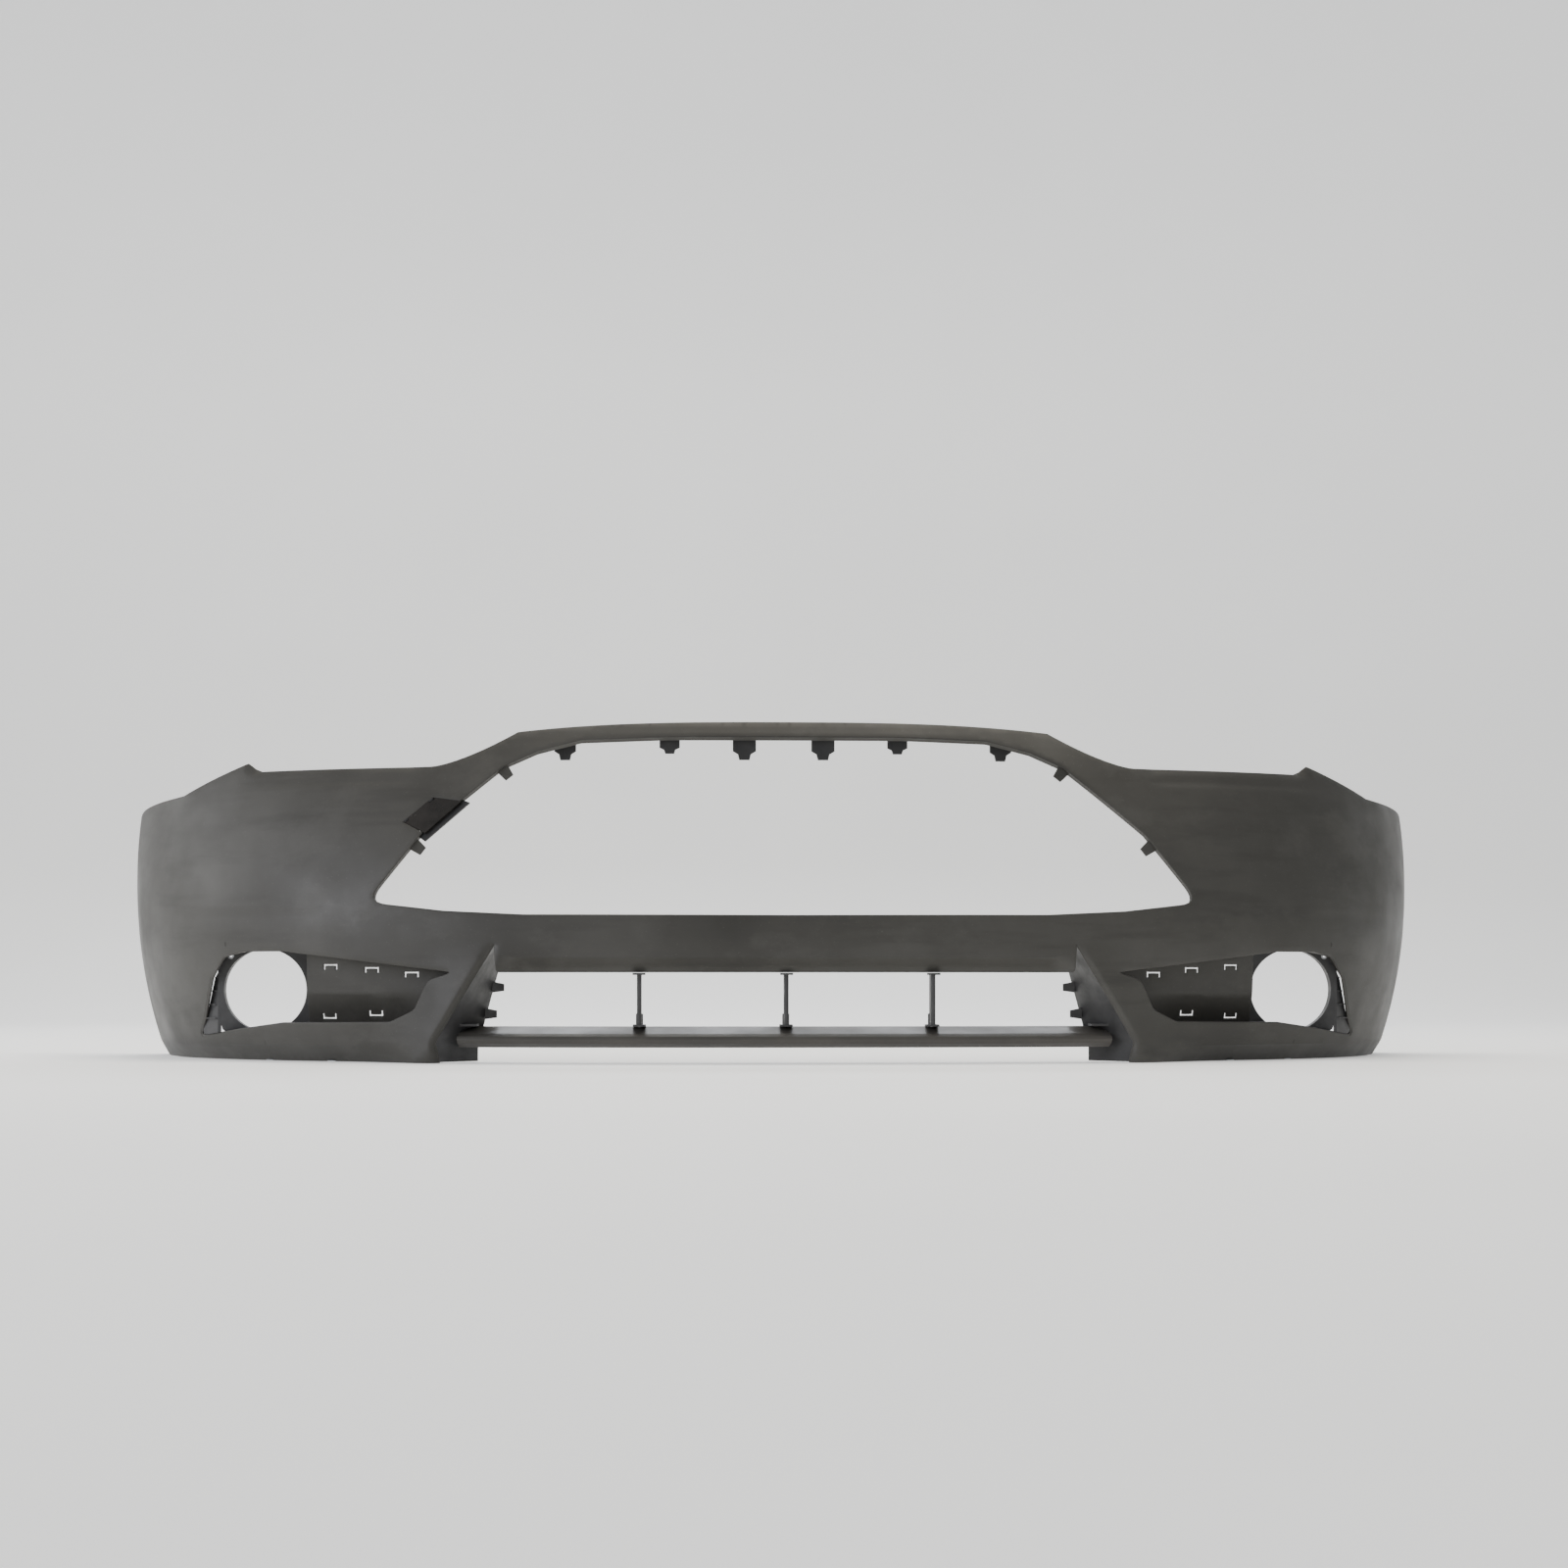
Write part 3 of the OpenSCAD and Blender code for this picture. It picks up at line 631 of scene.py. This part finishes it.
    def rod(self, start: np.ndarray, end: np.ndarray, radius: float, sides: int = 24) -> None:
        """Adds a round bar between two points.

        Args:
            start: Middle of one end.
            end: Middle of the other end.
            radius: Radius.
            sides: Sides of the section.
        """
        line = np.asarray(end, dtype=float) - start
        line /= np.linalg.norm(line)
        u = np.cross(line, [0, 0, 1.0] if abs(line[2]) < 0.9 else [1.0, 0, 0])
        u /= np.linalg.norm(u)
        v = np.cross(line, u)
        ring = [radius * (math.cos(math.tau * k / sides) * u + math.sin(math.tau * k / sides) * v)
                for k in range(sides)]
        self.sweep(np.array([[start + r for r in ring], [end + r for r in ring]]))

    def finish(self, material: bpy.types.Material, body: str, slot: Finish,
               angle: float = 32.0) -> bpy.types.Object:
        """Makes the Blender object.

        Args:
            material: Its material.
            body: CAD body that it moves with.
            slot: Record slot that it belongs to. Not used.
            angle: Edges sharper than this stay sharp.

        Returns:
            The new object.
        """
        bmesh.ops.scale(self.bm, vec=(MM, MM, MM), verts=self.bm.verts)
        bmesh.ops.recalc_face_normals(self.bm, faces=self.bm.faces)
        for face in self.bm.faces:
            face.smooth = True
        for edge in self.bm.edges:
            if len(edge.link_faces) == 2 and edge.calc_face_angle(0) > math.radians(angle):
                edge.smooth = False
        mesh = bpy.data.meshes.new(self.name)
        self.bm.to_mesh(mesh)
        self.bm.free()
        obj = bpy.data.objects.new(self.name, mesh)
        bpy.context.scene.collection.objects.link(obj)
        mesh.materials.append(material)
        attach(obj, body)
        LOG.info("%s: %d faces", self.name, len(mesh.polygons))
        return obj


class Paint:
    """Builds the procedural materials."""

    def __init__(self, name: str) -> None:
        """Starts a node material with object coordinates ready.

        Args:
            name: Name of the material.
        """
        self.material = bpy.data.materials.new(name)
        self.material.use_nodes = True
        self.tree = self.material.node_tree
        self.shader = self.tree.nodes["Principled BSDF"]
        self.place = self.tree.nodes.new("ShaderNodeTexCoord").outputs["Object"]

    def noise(self, scale: float, detail: float = 4, stretch: tuple = (1, 1, 1),
              rough: float = 0.55) -> bpy.types.NodeSocket:
        """Adds a noise field and returns its value socket.

        Args:
            scale: Patterns per metre.
            detail: Octaves.
            stretch: Scale along each axis.
            rough: Strength of the fine octaves.

        Returns:
            The noise, from 0 to 1.
        """
        mapping = self.tree.nodes.new("ShaderNodeMapping")
        mapping.inputs["Scale"].default_value = stretch
        self.tree.links.new(self.place, mapping.inputs["Vector"])
        node = self.tree.nodes.new("ShaderNodeTexNoise")
        node.inputs["Scale"].default_value = scale
        node.inputs["Detail"].default_value = detail
        node.inputs["Roughness"].default_value = rough
        self.tree.links.new(mapping.outputs["Vector"], node.inputs["Vector"])
        return node.outputs["Fac"]

    def ramp(self, source: bpy.types.NodeSocket, stops: Sequence[tuple[float, str]]) -> bpy.types.NodeSocket:
        """Turns a value into colours.

        Args:
            source: Value from 0 to 1.
            stops: Places and sRGB hex colours.

        Returns:
            The colour.
        """
        node = self.tree.nodes.new("ShaderNodeValToRGB")
        for element, (position, code) in zip(node.color_ramp.elements, (stops[0], stops[-1])):
            element.position = position
            element.color = linear(code)
        for position, code in stops[1:-1]:
            node.color_ramp.elements.new(position).color = linear(code)
        self.tree.links.new(source, node.inputs["Fac"])
        return node.outputs["Color"]

    def level(self, source: bpy.types.NodeSocket, low: float, high: float,
              from_low: float = 0.3, from_high: float = 0.7) -> bpy.types.NodeSocket:
        """Maps a value to a range.

        Args:
            source: Value to map.
            low: Result at from_low.
            high: Result at from_high.
            from_low: Lower end of the source.
            from_high: Upper end of the source.

        Returns:
            The mapped value.
        """
        node = self.tree.nodes.new("ShaderNodeMapRange")
        span = (("From Min", from_low), ("From Max", from_high), ("To Min", low), ("To Max", high))
        for key, value in span:
            node.inputs[key].default_value = value
        self.tree.links.new(source, node.inputs["Value"])
        return node.outputs["Result"]

    def mix(self, factor: bpy.types.NodeSocket, first: bpy.types.NodeSocket | str,
            second: bpy.types.NodeSocket | str, mode: str = "MIX") -> bpy.types.NodeSocket:
        """Mixes two colours by a value.

        Args:
            factor: Share of the second colour.
            first: First colour.
            second: Second colour.
            mode: How they are mixed.

        Returns:
            The mixed colour.
        """
        node = self.tree.nodes.new("ShaderNodeMix")
        node.data_type, node.blend_type = "RGBA", mode
        self.tree.links.new(factor, node.inputs[0])
        for socket, source in ((node.inputs[6], first), (node.inputs[7], second)):
            if isinstance(source, str):
                socket.default_value = linear(source)
            else:
                self.tree.links.new(source, socket)
        return node.outputs[2]

    def bump(self, source: bpy.types.NodeSocket, distance: float, strength: float = 1.0) -> None:
        """Adds fine relief.

        Args:
            source: Height pattern.
            distance: Height of the pattern in metres.
            strength: Share of it that shows.
        """
        node = self.tree.nodes.new("ShaderNodeBump")
        node.inputs["Distance"].default_value = distance
        node.inputs["Strength"].default_value = strength
        self.tree.links.new(source, node.inputs["Height"])
        self.tree.links.new(node.outputs["Normal"], self.shader.inputs["Normal"])

    def set(self, name: str, value: bpy.types.NodeSocket | float | tuple) -> None:
        """Sets or links one input of the shader.

        Args:
            name: Name of the input.
            value: A constant or the socket that drives it.
        """
        socket = self.shader.inputs[name]
        if isinstance(value, bpy.types.NodeSocket):
            self.tree.links.new(value, socket)
        else:
            socket.default_value = value


class Palette:
    """The four finishes of the part."""

    def __init__(self) -> None:
        """Builds each material once."""
        self.primer = self._primer("primer", "#2d2c29", "#373633", "#42413e")
        # Painted light: a lighter copy of the same primer makes the chin lip brighter than the skin.
        self.lip = self._primer("lip_primer_painted_light", "#393835", "#43413e", "#4d4a46")
        self.black = self._black("black_pp", "#161617", "#232324")
        # Dark grey: the real colour of the fog carriers and intake struts, and painted shade on the fin
        # walls and the shroud sheets.
        self.grey_and_shade = self._black("grey_plastic_and_painted_shade", "#2b2b2c", "#3a3a3b")
        self.gloss = self._gloss()
        self.zinc = self._zinc()

    @staticmethod
    def _primer(name: str, dark: str, mid: str, light: str) -> bpy.types.Material:
        """Satin primer with hand marks, streaks and specks.

        Args:
            name: Name of the material.
            dark: Darkest colour.
            mid: Usual colour.
            light: Lightest colour.

        Returns:
            The material.
        """
        paint = Paint(name)
        clouds = paint.ramp(paint.noise(3.2, 5), [(0.3, dark), (0.5, mid), (0.72, light)])
        streaks = paint.level(paint.noise(9, 6, (0.5, 1, 4.5)), 0.0, 0.55, 0.5, 0.7)
        marked = paint.mix(streaks, clouds, dark)
        smudge = paint.level(paint.noise(7.5, 8, (1, 1, 1.6), 0.7), 0.0, 0.6, 0.52, 0.66)
        soiled = paint.mix(smudge, marked, light)
        specks = paint.level(paint.noise(420, 2), 0.0, 0.25, 0.66, 0.74)
        paint.set("Base Color", paint.mix(specks, soiled, "#5a5956"))
        paint.set("Roughness", paint.level(paint.noise(14, 6), 0.38, 0.56))
        paint.set("Specular IOR Level", 0.35)
        paint.bump(paint.noise(900, 3), 0.00006, 0.5)
        return paint.material

    @staticmethod
    def _black(name: str, dark: str, light: str) -> bpy.types.Material:
        """Moulded plastic with a fine grain.

        Args:
            name: Name of the material.
            dark: Darker colour.
            light: Lighter colour.

        Returns:
            The material.
        """
        paint = Paint(name)
        paint.set("Base Color", paint.ramp(paint.noise(28, 6), [(0.35, dark), (0.68, light)]))
        paint.set("Roughness", paint.level(paint.noise(60, 5), 0.46, 0.66))
        paint.bump(paint.noise(1500, 2), 0.0001, 0.7)
        return paint.material

    @staticmethod
    def _gloss() -> bpy.types.Material:
        """Dark gloss paint with a soft orange peel.

        Returns:
            The material.
        """
        paint = Paint("gloss_black")
        paint.set("Base Color", paint.ramp(paint.noise(40, 4), [(0.35, "#1c1a18"), (0.65, "#272422")]))
        paint.set("Roughness", paint.level(paint.noise(90, 4), 0.16, 0.28))
        paint.set("Specular IOR Level", 0.4)
        paint.bump(paint.noise(700, 2), 0.00005, 0.4)
        return paint.material

    @staticmethod
    def _zinc() -> bpy.types.Material:
        """Bright plated steel.

        Returns:
            The material.
        """
        paint = Paint("zinc")
        paint.set("Base Color", paint.ramp(paint.noise(120, 5), [(0.35, "#9da0a3"), (0.65, "#c3c6ca")]))
        paint.set("Metallic", 0.92)
        paint.set("Roughness", paint.level(paint.noise(200, 4), 0.26, 0.42))
        paint.bump(paint.noise(900, 3), 0.00004, 0.5)
        return paint.material


class Skin:
    """The moulded skin with its returns, fins, recesses and lugs.

    PANEL_END is where the panel beside a lamp ends, and SHROUD_FROM is where the dark sheet of painted shade
    behind the recess begins. Both are distances from the middle in millimetres.
    """

    PANEL_END = 618.0
    SHROUD_FROM = 735.0

    def __init__(self, palette: Palette) -> None:
        """Takes the finishes."""
        self.palette = palette
        self.shell = Shell("skin")
        # Fin walls and shroud sheets, kept apart so that they are drawn dark as painted shade.
        self.dark = Shell("painted_shade_walls")

    def build(self) -> bpy.types.Object:
        """Makes the whole skin.

        Returns:
            The skin object, which stands for the CAD skin.
        """
        loops = [Outlines.rim(), Outlines.grille(), CHART.front(Outlines.recess(Side.RIGHT)),
                 CHART.front(Outlines.recess(Side.LEFT)), Outlines.tow()]
        self.shell.sheet(loops, 6.0, BODY.face, BODY.inward, folds=self._folds())
        self._grille_return()
        self._top_band()
        self._bar_ceiling()
        for side in Side:
            self._arch_return(side)
            self._bottom_flange(side)
            self._fin_wall(side)
            self._recess(side)
            self._lugs(side)
        obj = self.shell.finish(self.palette.primer, "cover", Finish.PRIMER)
        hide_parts("cover_skin")
        # The fin walls and the shroud sheets take the dark grey: painted shade on primer surfaces.
        self.dark.finish(self.palette.grey_and_shade, "cover", Finish.PRIMER)
        return obj

    @staticmethod
    def _folds() -> list[np.ndarray]:
        """Lines along the bar's and the sills' creases, and beside each fin's ridge.

        Returns:
            Lines on the chart.
        """
        lines = [dense(CHART.front([(-360, 133), (360, 133)]), 6.0, closed=False)]
        for side in Side:
            lines.append(dense(CHART.front([(452, 21), (832, 21)]), 6.0, closed=False) * [side.value, 1])
            for gap in (2.2, 4.4, 6.8, 9.4):
                heights = np.concatenate([np.linspace(4, 18, 4), np.linspace(24, 138 - gap, 24)])
                line = CHART.front([(BODY.fin_edge(z) + gap, z) for z in heights])
                lines.append(line * [side.value, 1])
        return lines

    def _ribbon(self, flat: np.ndarray, push: Callable, low: float, high: float, thick: float,
                side: np.ndarray, closed: bool = False) -> None:
        """Sweeps a flat strip along a chart line.

        Args:
            flat: Chart line.
            push: Gives the direction of depth at (angle, height).
            low: Depth of its front edge.
            high: Depth of its rear edge.
            thick: Thickness.
            side: Direction of thickness, one row per place.
            closed: Whether the line closes.
        """
        turn = CHART.turn(flat[:, 0])
        front, way = BODY.face(turn, flat[:, 1]), push(turn, flat[:, 1])
        across = side * thick
        sections = np.stack([front + way * low, front + way * high, front + way * high + across,
                             front + way * low + across], axis=1)
        self.shell.sweep(sections, closed)

    @staticmethod
    def _outward(flat: np.ndarray, closed: bool = True) -> np.ndarray:
        """Directions across a chart line in the sheet, away from the middle of its loop.

        Args:
            flat: Chart line.
            closed: Whether the line closes.

        Returns:
            A unit vector at each point.
        """
        turn = CHART.turn(flat[:, 0])
        points, normal = BODY.plain(turn, flat[:, 1]), BODY.inward(turn, flat[:, 1])
        if closed:
            along = np.roll(points, -1, axis=0) - np.roll(points, 1, axis=0)
        else:
            along = np.gradient(points, axis=0)
        side = np.cross(along, normal)
        side /= np.linalg.norm(side, axis=1, keepdims=True)
        middle = points.mean(axis=0)
        if ((points - middle) * side).sum() < 0:
            side = -side
        return side

    def _grille_return(self) -> None:
        """A short lip all round the upper opening."""
        flat = Outlines.grille()
        side = self._outward(flat)
        self._ribbon(flat, BODY.inward, 1.6, 9.0, 2.4, side, closed=True)

    def _top_band(self) -> None:
        """The flange behind the upper edge."""
        half = Outlines.upper_edge()
        flat = dense(np.concatenate([(half * [-1, 1])[::-1], half[1:]]), 8.0, closed=False)
        flat = flat - [0, 0.6]
        side = self._outward(flat, closed=False)
        side = np.where(side[:, 2:] > 0, -side, side)
        self._ribbon(flat, lambda t, z: np.tile([0.0, 1.0, 0.0], (len(t), 1)), 1.8, 21.0, 2.4, side)

    def _bar_ceiling(self) -> None:
        """The flange under the centre bar."""
        flat = dense(CHART.front([(-362, 117), (362, 117)]), 10.0, closed=False)
        down = np.tile([0.0, 0.0, -1.0], (len(flat), 1))
        self._ribbon(flat, lambda t, z: np.tile([0.0, 1.0, 0.0], (len(t), 1)), 1.2, 28.0, 2.4, down)

    def _arch_return(self, side: Side) -> None:
        """The lip that turns in round the wheel arch.

        Args:
            side: Which side.
        """
        flat = Outlines.flank_edge()[4:61] * [side.value, 1]
        turn = CHART.turn(flat[:, 0])
        points = BODY.plain(turn, flat[:, 1])
        hub = np.array([0, BODY.nose_y + BODY.arch_s, BODY.arch_z])
        away = (points - hub) * [0, 1, 1]
        away /= np.linalg.norm(away, axis=1, keepdims=True)
        self._ribbon(flat, BODY.inward, 1.2, 18.0, 2.6, away)

    def _bottom_flange(self, side: Side) -> None:
        """The level flange along the lower edge.

        Args:
            side: Which side.
        """
        flat = dense(CHART.front([(438, 1.6), (828, 1.6)]), 9.0, closed=False) * [side.value, 1]

        def level(t: np.ndarray, z: np.ndarray) -> np.ndarray:
            """Level unit vectors into the cover."""
            way = BODY.inward(t, z) * [1, 1, 0]
            return way / np.linalg.norm(way, axis=1, keepdims=True)

        self._ribbon(flat, level, 1.2, 28.0, 3.0, np.tile([0.0, 0.0, 1.0], (len(flat), 1)))

    def _fin_wall(self, side: Side) -> None:
        """The slanted inner wall of a fin, with its two small tabs and its ledge, drawn in dark grey as
        painted shade.

        Args:
            side: Which side.
        """
        sections = []
        for z in np.linspace(1.5, 148, 24):
            x = BODY.fin_edge(z)
            face = BODY.face(BODY.turn(np.array(x), np.array(z)), np.array(z))
            rear = 392 - 0.27 * max(0.0, z - 20)
            front_y = face[1] + 1.4
            sections.append([(side.value * x, front_y, z), (side.value * rear, BODY.nose_y + 96, z),
                             (side.value * (rear + 3), BODY.nose_y + 96, z),
                             (side.value * (x + 4), front_y + 5, z)])
        self.dark.sweep(np.array(sections, dtype=float))
        for height in (96.0, 62.0):
            rear = 392 - 0.27 * (height - 20)
            box = [(rear - 13, height - 5), (rear + 2, height - 7), (rear + 2, height + 7),
                   (rear - 13, height + 4)]
            self.dark.prism(box, lambda p: np.array([side.value * p[0], BODY.nose_y + 91.0, p[1]]),
                             np.array([0, 3.0, 0]))
        ledge = [(390.0, 46.3), (436.0, 46.3), (436.0, 49.3), (390.0, 49.3)]
        self.dark.prism(ledge, lambda p: np.array([side.value * p[0], BODY.nose_y + 58.0, p[1]]),
                         np.array([0, 46.0, 0]))

    def _recess(self, side: Side) -> None:
        """The walls of a fog lamp recess and the panel beside the lamp.

        Args:
            side: Which side.
        """
        flat = Outlines.recess(side)
        chart = CHART.front(flat)
        out = self._outward(chart)
        turn = CHART.turn(chart[:, 0])
        face, normal = BODY.face(turn, chart[:, 1]), BODY.inward(turn, chart[:, 1])
        slope = np.clip(normal[:, 1], 0.35, 1)
        ring = out * [1, 0, 1]
        ring /= np.linalg.norm(ring, axis=1, keepdims=True)
        deep = np.array([0.0, 1.0, 0.0])
        depths = np.clip(np.minimum(47.0 / slope, BODY.nose_y + 205.0 - face[:, 1]), 3.2, None)
        near, far = face + deep * 1.2, face + deep * depths[:, None]
        self.shell.sweep(np.stack([near, far, far + ring * 2.6, near + ring * 2.6], axis=1), True)
        self._shroud(side)
        right = Outlines.recess(Side.RIGHT, 1.2)
        right = np.stack([np.minimum(right[:, 0], self.PANEL_END), right[:, 1]], axis=1)
        at_end = np.where(right[:, 0] > self.PANEL_END - 0.1)[0]
        panel = dense(np.delete(right, at_end[1:-1], axis=0), 5.0) * [side.value, 1]
        loops = [CHART.front(panel)]
        fold_line = dense(CHART.front([(508, 88), (612, 88)]), 5.0, closed=False) * [side.value, 1]
        for x, z in Outlines.SLOTS:
            lift = 1 if z > 90 else -1
            shape = [(-10, 4), (10, 4), (10, -4), (6.5, -4), (6.5, 1), (-6.5, 1), (-6.5, -4), (-10, -4)]
            loops.append(CHART.front(dense(np.array([((x + a) * side.value, z + b * lift) for a, b in shape],
                                                    dtype=float), 4.0)))

        def outer(t: np.ndarray, z: np.ndarray) -> np.ndarray:
            """Points of the panel's outer face, folded along a level line.

            Args:
                t: Angles along the plan curve.
                z: Heights.

            Returns:
                The points.
            """
            points = BODY.plain(t, z)
            n = BODY.inward(t, z)
            away = np.abs(points[:, 0])
            fold = np.clip(88 - z, 0, None) * 0.34 * np.clip((away - 440) / 60, 0, 1)
            points[:, 1] += 46.0 / np.clip(n[:, 1], 0.35, 1) - 3 + fold - BODY.fin(points[:, 0], z) * 0.5
            return points

        self.shell.sheet(loops, 5.0, outer, BODY.inward, 3.0, 0.8, [fold_line])

    def _shroud(self, side: Side) -> None:
        """A dark sheet of painted shade behind the outer end of a recess, where the gap lies in shade.

        Args:
            side: Which side.
        """
        flat = Outlines.recess(Side.RIGHT)
        flat = flat[flat[:, 0] > self.SHROUD_FROM]
        flat = flat[np.argsort(flat[:, 1])] * [side.value, 1]
        chart = CHART.front(flat)
        face = BODY.face(CHART.turn(chart[:, 0]), chart[:, 1])
        way = np.array([side.value * 0.30, 1.0, 0.0])
        thick = np.array([side.value * 2.0, 0.0, 0.0])
        start = face + [side.value * 0.6, 4.0, 0.0]
        end = start + way * 52.0
        # Painted shade: a dark sheet where the gap behind the recess lies in shade.
        self.dark.sweep(np.stack([start, end, end + thick, start + thick], axis=1))

    def _lugs(self, side: Side) -> None:
        """The grille lugs and the posts behind a recess.

        Args:
            side: Which side.
        """
        shape = [(-6, -17), (6, -17), (8, -4), (8, 6), (-8, 6), (-8, -4)]
        for x, z, lean in ((363, 378, 38), (474, 279, 52)):
            angle = math.radians(lean)
            y = float(BODY.sunk(x, z, 8.4)[1])

            def lift(p: Sequence[float], x: float = x, z: float = z, y: float = y,
                     angle: float = angle) -> np.ndarray:
                """Turns a point of the lug's outline and puts it behind the skin."""
                u = p[0] * math.cos(angle) + p[1] * math.sin(angle)
                w = -p[0] * math.sin(angle) + p[1] * math.cos(angle)
                return np.array([side.value * (x + u), y - 2.4, z + w])

            self.shell.prism(shape, lift, np.array([0, 2.4, 0]))
        for dx, dz in ((-42, 60), (42, 60), (-12, -66), (-42, -62)):
            x, z = 680 + dx, 92 + dz
            y = float(BODY.sunk(x, z, 1.5)[1])
            self.shell.rod(np.array([side.value * x, y + 2, z]),
                           np.array([side.value * x, BODY.nose_y + 205.5, z]), 5.5)


class Lip:
    """The chin lip: one section carried along the plan curve."""

    SECTION = ((62, 46), (38, 46), (6, 37.5), (-1, 34), (-3, 30), (0, 25), (9, 20), (44, 20), (44, 22.6),
               (10, 22.6), (3, 27), (1, 30), (3, 32.6), (8, 34.8), (39, 43.2), (62, 43.2))

    def build(self, palette: Palette) -> bpy.types.Object:
        """Makes the lip.

        Args:
            palette: The finishes.

        Returns:
            The lip object, which stands for the CAD lip.
        """
        shell = Shell("chin_lip")
        section = rounded(self.SECTION, 1.4, 3)
        end = float(BODY.turn(np.array(414.0), np.array(30.0)))
        rows = []
        for t in np.linspace(-end, end, 181):
            at = BODY.plain(np.array(t), np.array(30.0))
            way = BODY.inward(np.array(t), np.array(30.0)) * [1, 1, 0]
            way /= np.linalg.norm(way)
            rows.append([[at[0] + o * way[0], at[1] + o * way[1], z] for o, z in section])
        shell.sweep(np.array(rows))
        obj = shell.finish(palette.lip, "cover", Finish.PRIMER)
        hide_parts("lower_lip")
        return obj


class Fittings:
    """Gives each CAD node that stays its finish."""

    def __init__(self, frame: dict, palette: Palette) -> None:
        """Takes the frame and the finishes."""
        self.nodes = frame["nodes"]
        self.palette = palette

    def _finish(self, name: str) -> bpy.types.Material:
        """Chooses a finish by the node's name.

        Args:
            name: Node of the CAD part.

        Returns:
            Its material.
        """
        if "screw" in name or "nut" in name or "insert" in name:
            return self.palette.zinc
        if name == "tow_eye_cover":
            return self.palette.gloss
        if name.startswith("fog_carrier") or name.startswith("intake_strut"):
            return self.palette.grey_and_shade
        return self.palette.black

    def dress(self) -> None:
        """Assigns materials to every CAD node."""
        for name, obj in self.nodes.items():
            material = self._finish(name)
            if not obj.material_slots:
                obj.data.materials.append(material)
            for slot in obj.material_slots:
                slot.material = material


class Studio:
    """Floor, lights and camera."""

    def build(self) -> None:
        """Sets up the whole studio."""
        self._floor()
        self._lights()
        self._camera()

    @staticmethod
    def _floor() -> None:
        """A pale floor that rises into a backdrop."""
        bm = bmesh.new()
        profile = [(-9.0, 0.0), (3.0, 0.0)]
        bend = np.linspace(0.1, math.pi / 2, 16)
        profile += [(3.0 + 2.0 * math.sin(a), 2.0 - 2.0 * math.cos(a)) for a in bend]
        profile.append((5.0, 9.0))
        rows = [[bm.verts.new((x, y, z)) for y, z in profile] for x in (-14.0, 14.0)]
        for k in range(len(profile) - 1):
            bm.faces.new([rows[0][k], rows[1][k], rows[1][k + 1], rows[0][k + 1]])
        for face in bm.faces:
            face.smooth = True
        mesh = bpy.data.meshes.new("floor")
        bm.to_mesh(mesh)
        bm.free()
        floor = bpy.data.objects.new("floor", mesh)
        bpy.context.scene.collection.objects.link(floor)
        paint = Paint("floor")
        paint.set("Base Color", paint.ramp(paint.noise(1.5, 2), [(0.3, "#f2f2f1"), (0.7, "#f6f6f5")]))
        paint.set("Roughness", 0.75)
        paint.set("Emission Color", linear("#fbfbfa"))
        paint.set("Emission Strength", 0.38)
        mesh.materials.append(paint.material)

    @staticmethod
    def _area(name: str, place: tuple, aim: tuple, size: tuple, power: float, colour: str) -> None:
        """Adds one soft light.

        Args:
            name: Name of the light.
            place: Where it stands.
            aim: Where it points.
            size: Width and height.
            power: Power in watts.
            colour: sRGB hex colour.
        """
        light = bpy.data.lights.new(name, "AREA")
        light.shape = "RECTANGLE"
        light.size, light.size_y = size
        light.energy = power
        light.color = linear(colour)[:3]
        obj = bpy.data.objects.new(name, light)
        obj.location = place
        obj.rotation_euler = (Vector(aim) - Vector(place)).to_track_quat("-Z", "Y").to_euler()
        bpy.context.scene.collection.objects.link(obj)

    def _lights(self) -> None:
        """A large key from the upper left, a low fill and a strip behind."""
        self._area("key", (-3.9, -3.0, 1.5), (0, -0.1, 0.2), (2.4, 1.8), 100, "#f6f7ff")
        self._area("side", (-3.4, 0.2, 1.2), (-0.6, 0, 0.2), (1.6, 1.4), 26, "#ffffff")
        self._area("top", (0.2, 0.2, 3.2), (0, 0, 0.2), (3.4, 1.6), 84, "#fff8e8")
        self._area("back", (0.0, 3.2, 2.2), (0, 0.1, 0.3), (3.6, 1.0), 60, "#f4f8ff")
        world = bpy.data.worlds.new("world")
        world.use_nodes = True
        world.node_tree.nodes["Background"].inputs["Color"].default_value = linear("#e6e8ea")
        world.node_tree.nodes["Background"].inputs["Strength"].default_value = 0.62
        bpy.context.scene.world = world

    @staticmethod
    def _camera() -> None:
        """A level camera near the floor, a little to the viewer's left."""
        camera = bpy.data.cameras.new("camera")
        camera.sensor_width = 36.0
        camera.lens = 59.85
        camera.shift_y = 0.1275
        obj = bpy.data.objects.new("camera", camera)
        turn = math.radians(-2.0)
        obj.location = (-0.004 + 3.25 * math.sin(turn), -0.28 - 3.25 * math.cos(turn), 0.10)
        obj.rotation_euler = (math.pi / 2, 0.0, turn)
        bpy.context.scene.collection.objects.link(obj)
        bpy.context.scene.camera = obj


def main() -> None:
    """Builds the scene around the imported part."""
    logging.basicConfig(level=logging.INFO, format="%(name)s: %(message)s")
    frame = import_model()
    palette = Palette()
    Fittings(frame, palette).dress()
    Skin(palette).build()
    Lip().build(palette)
    Studio().build()


if __name__ == "__main__":
    main()
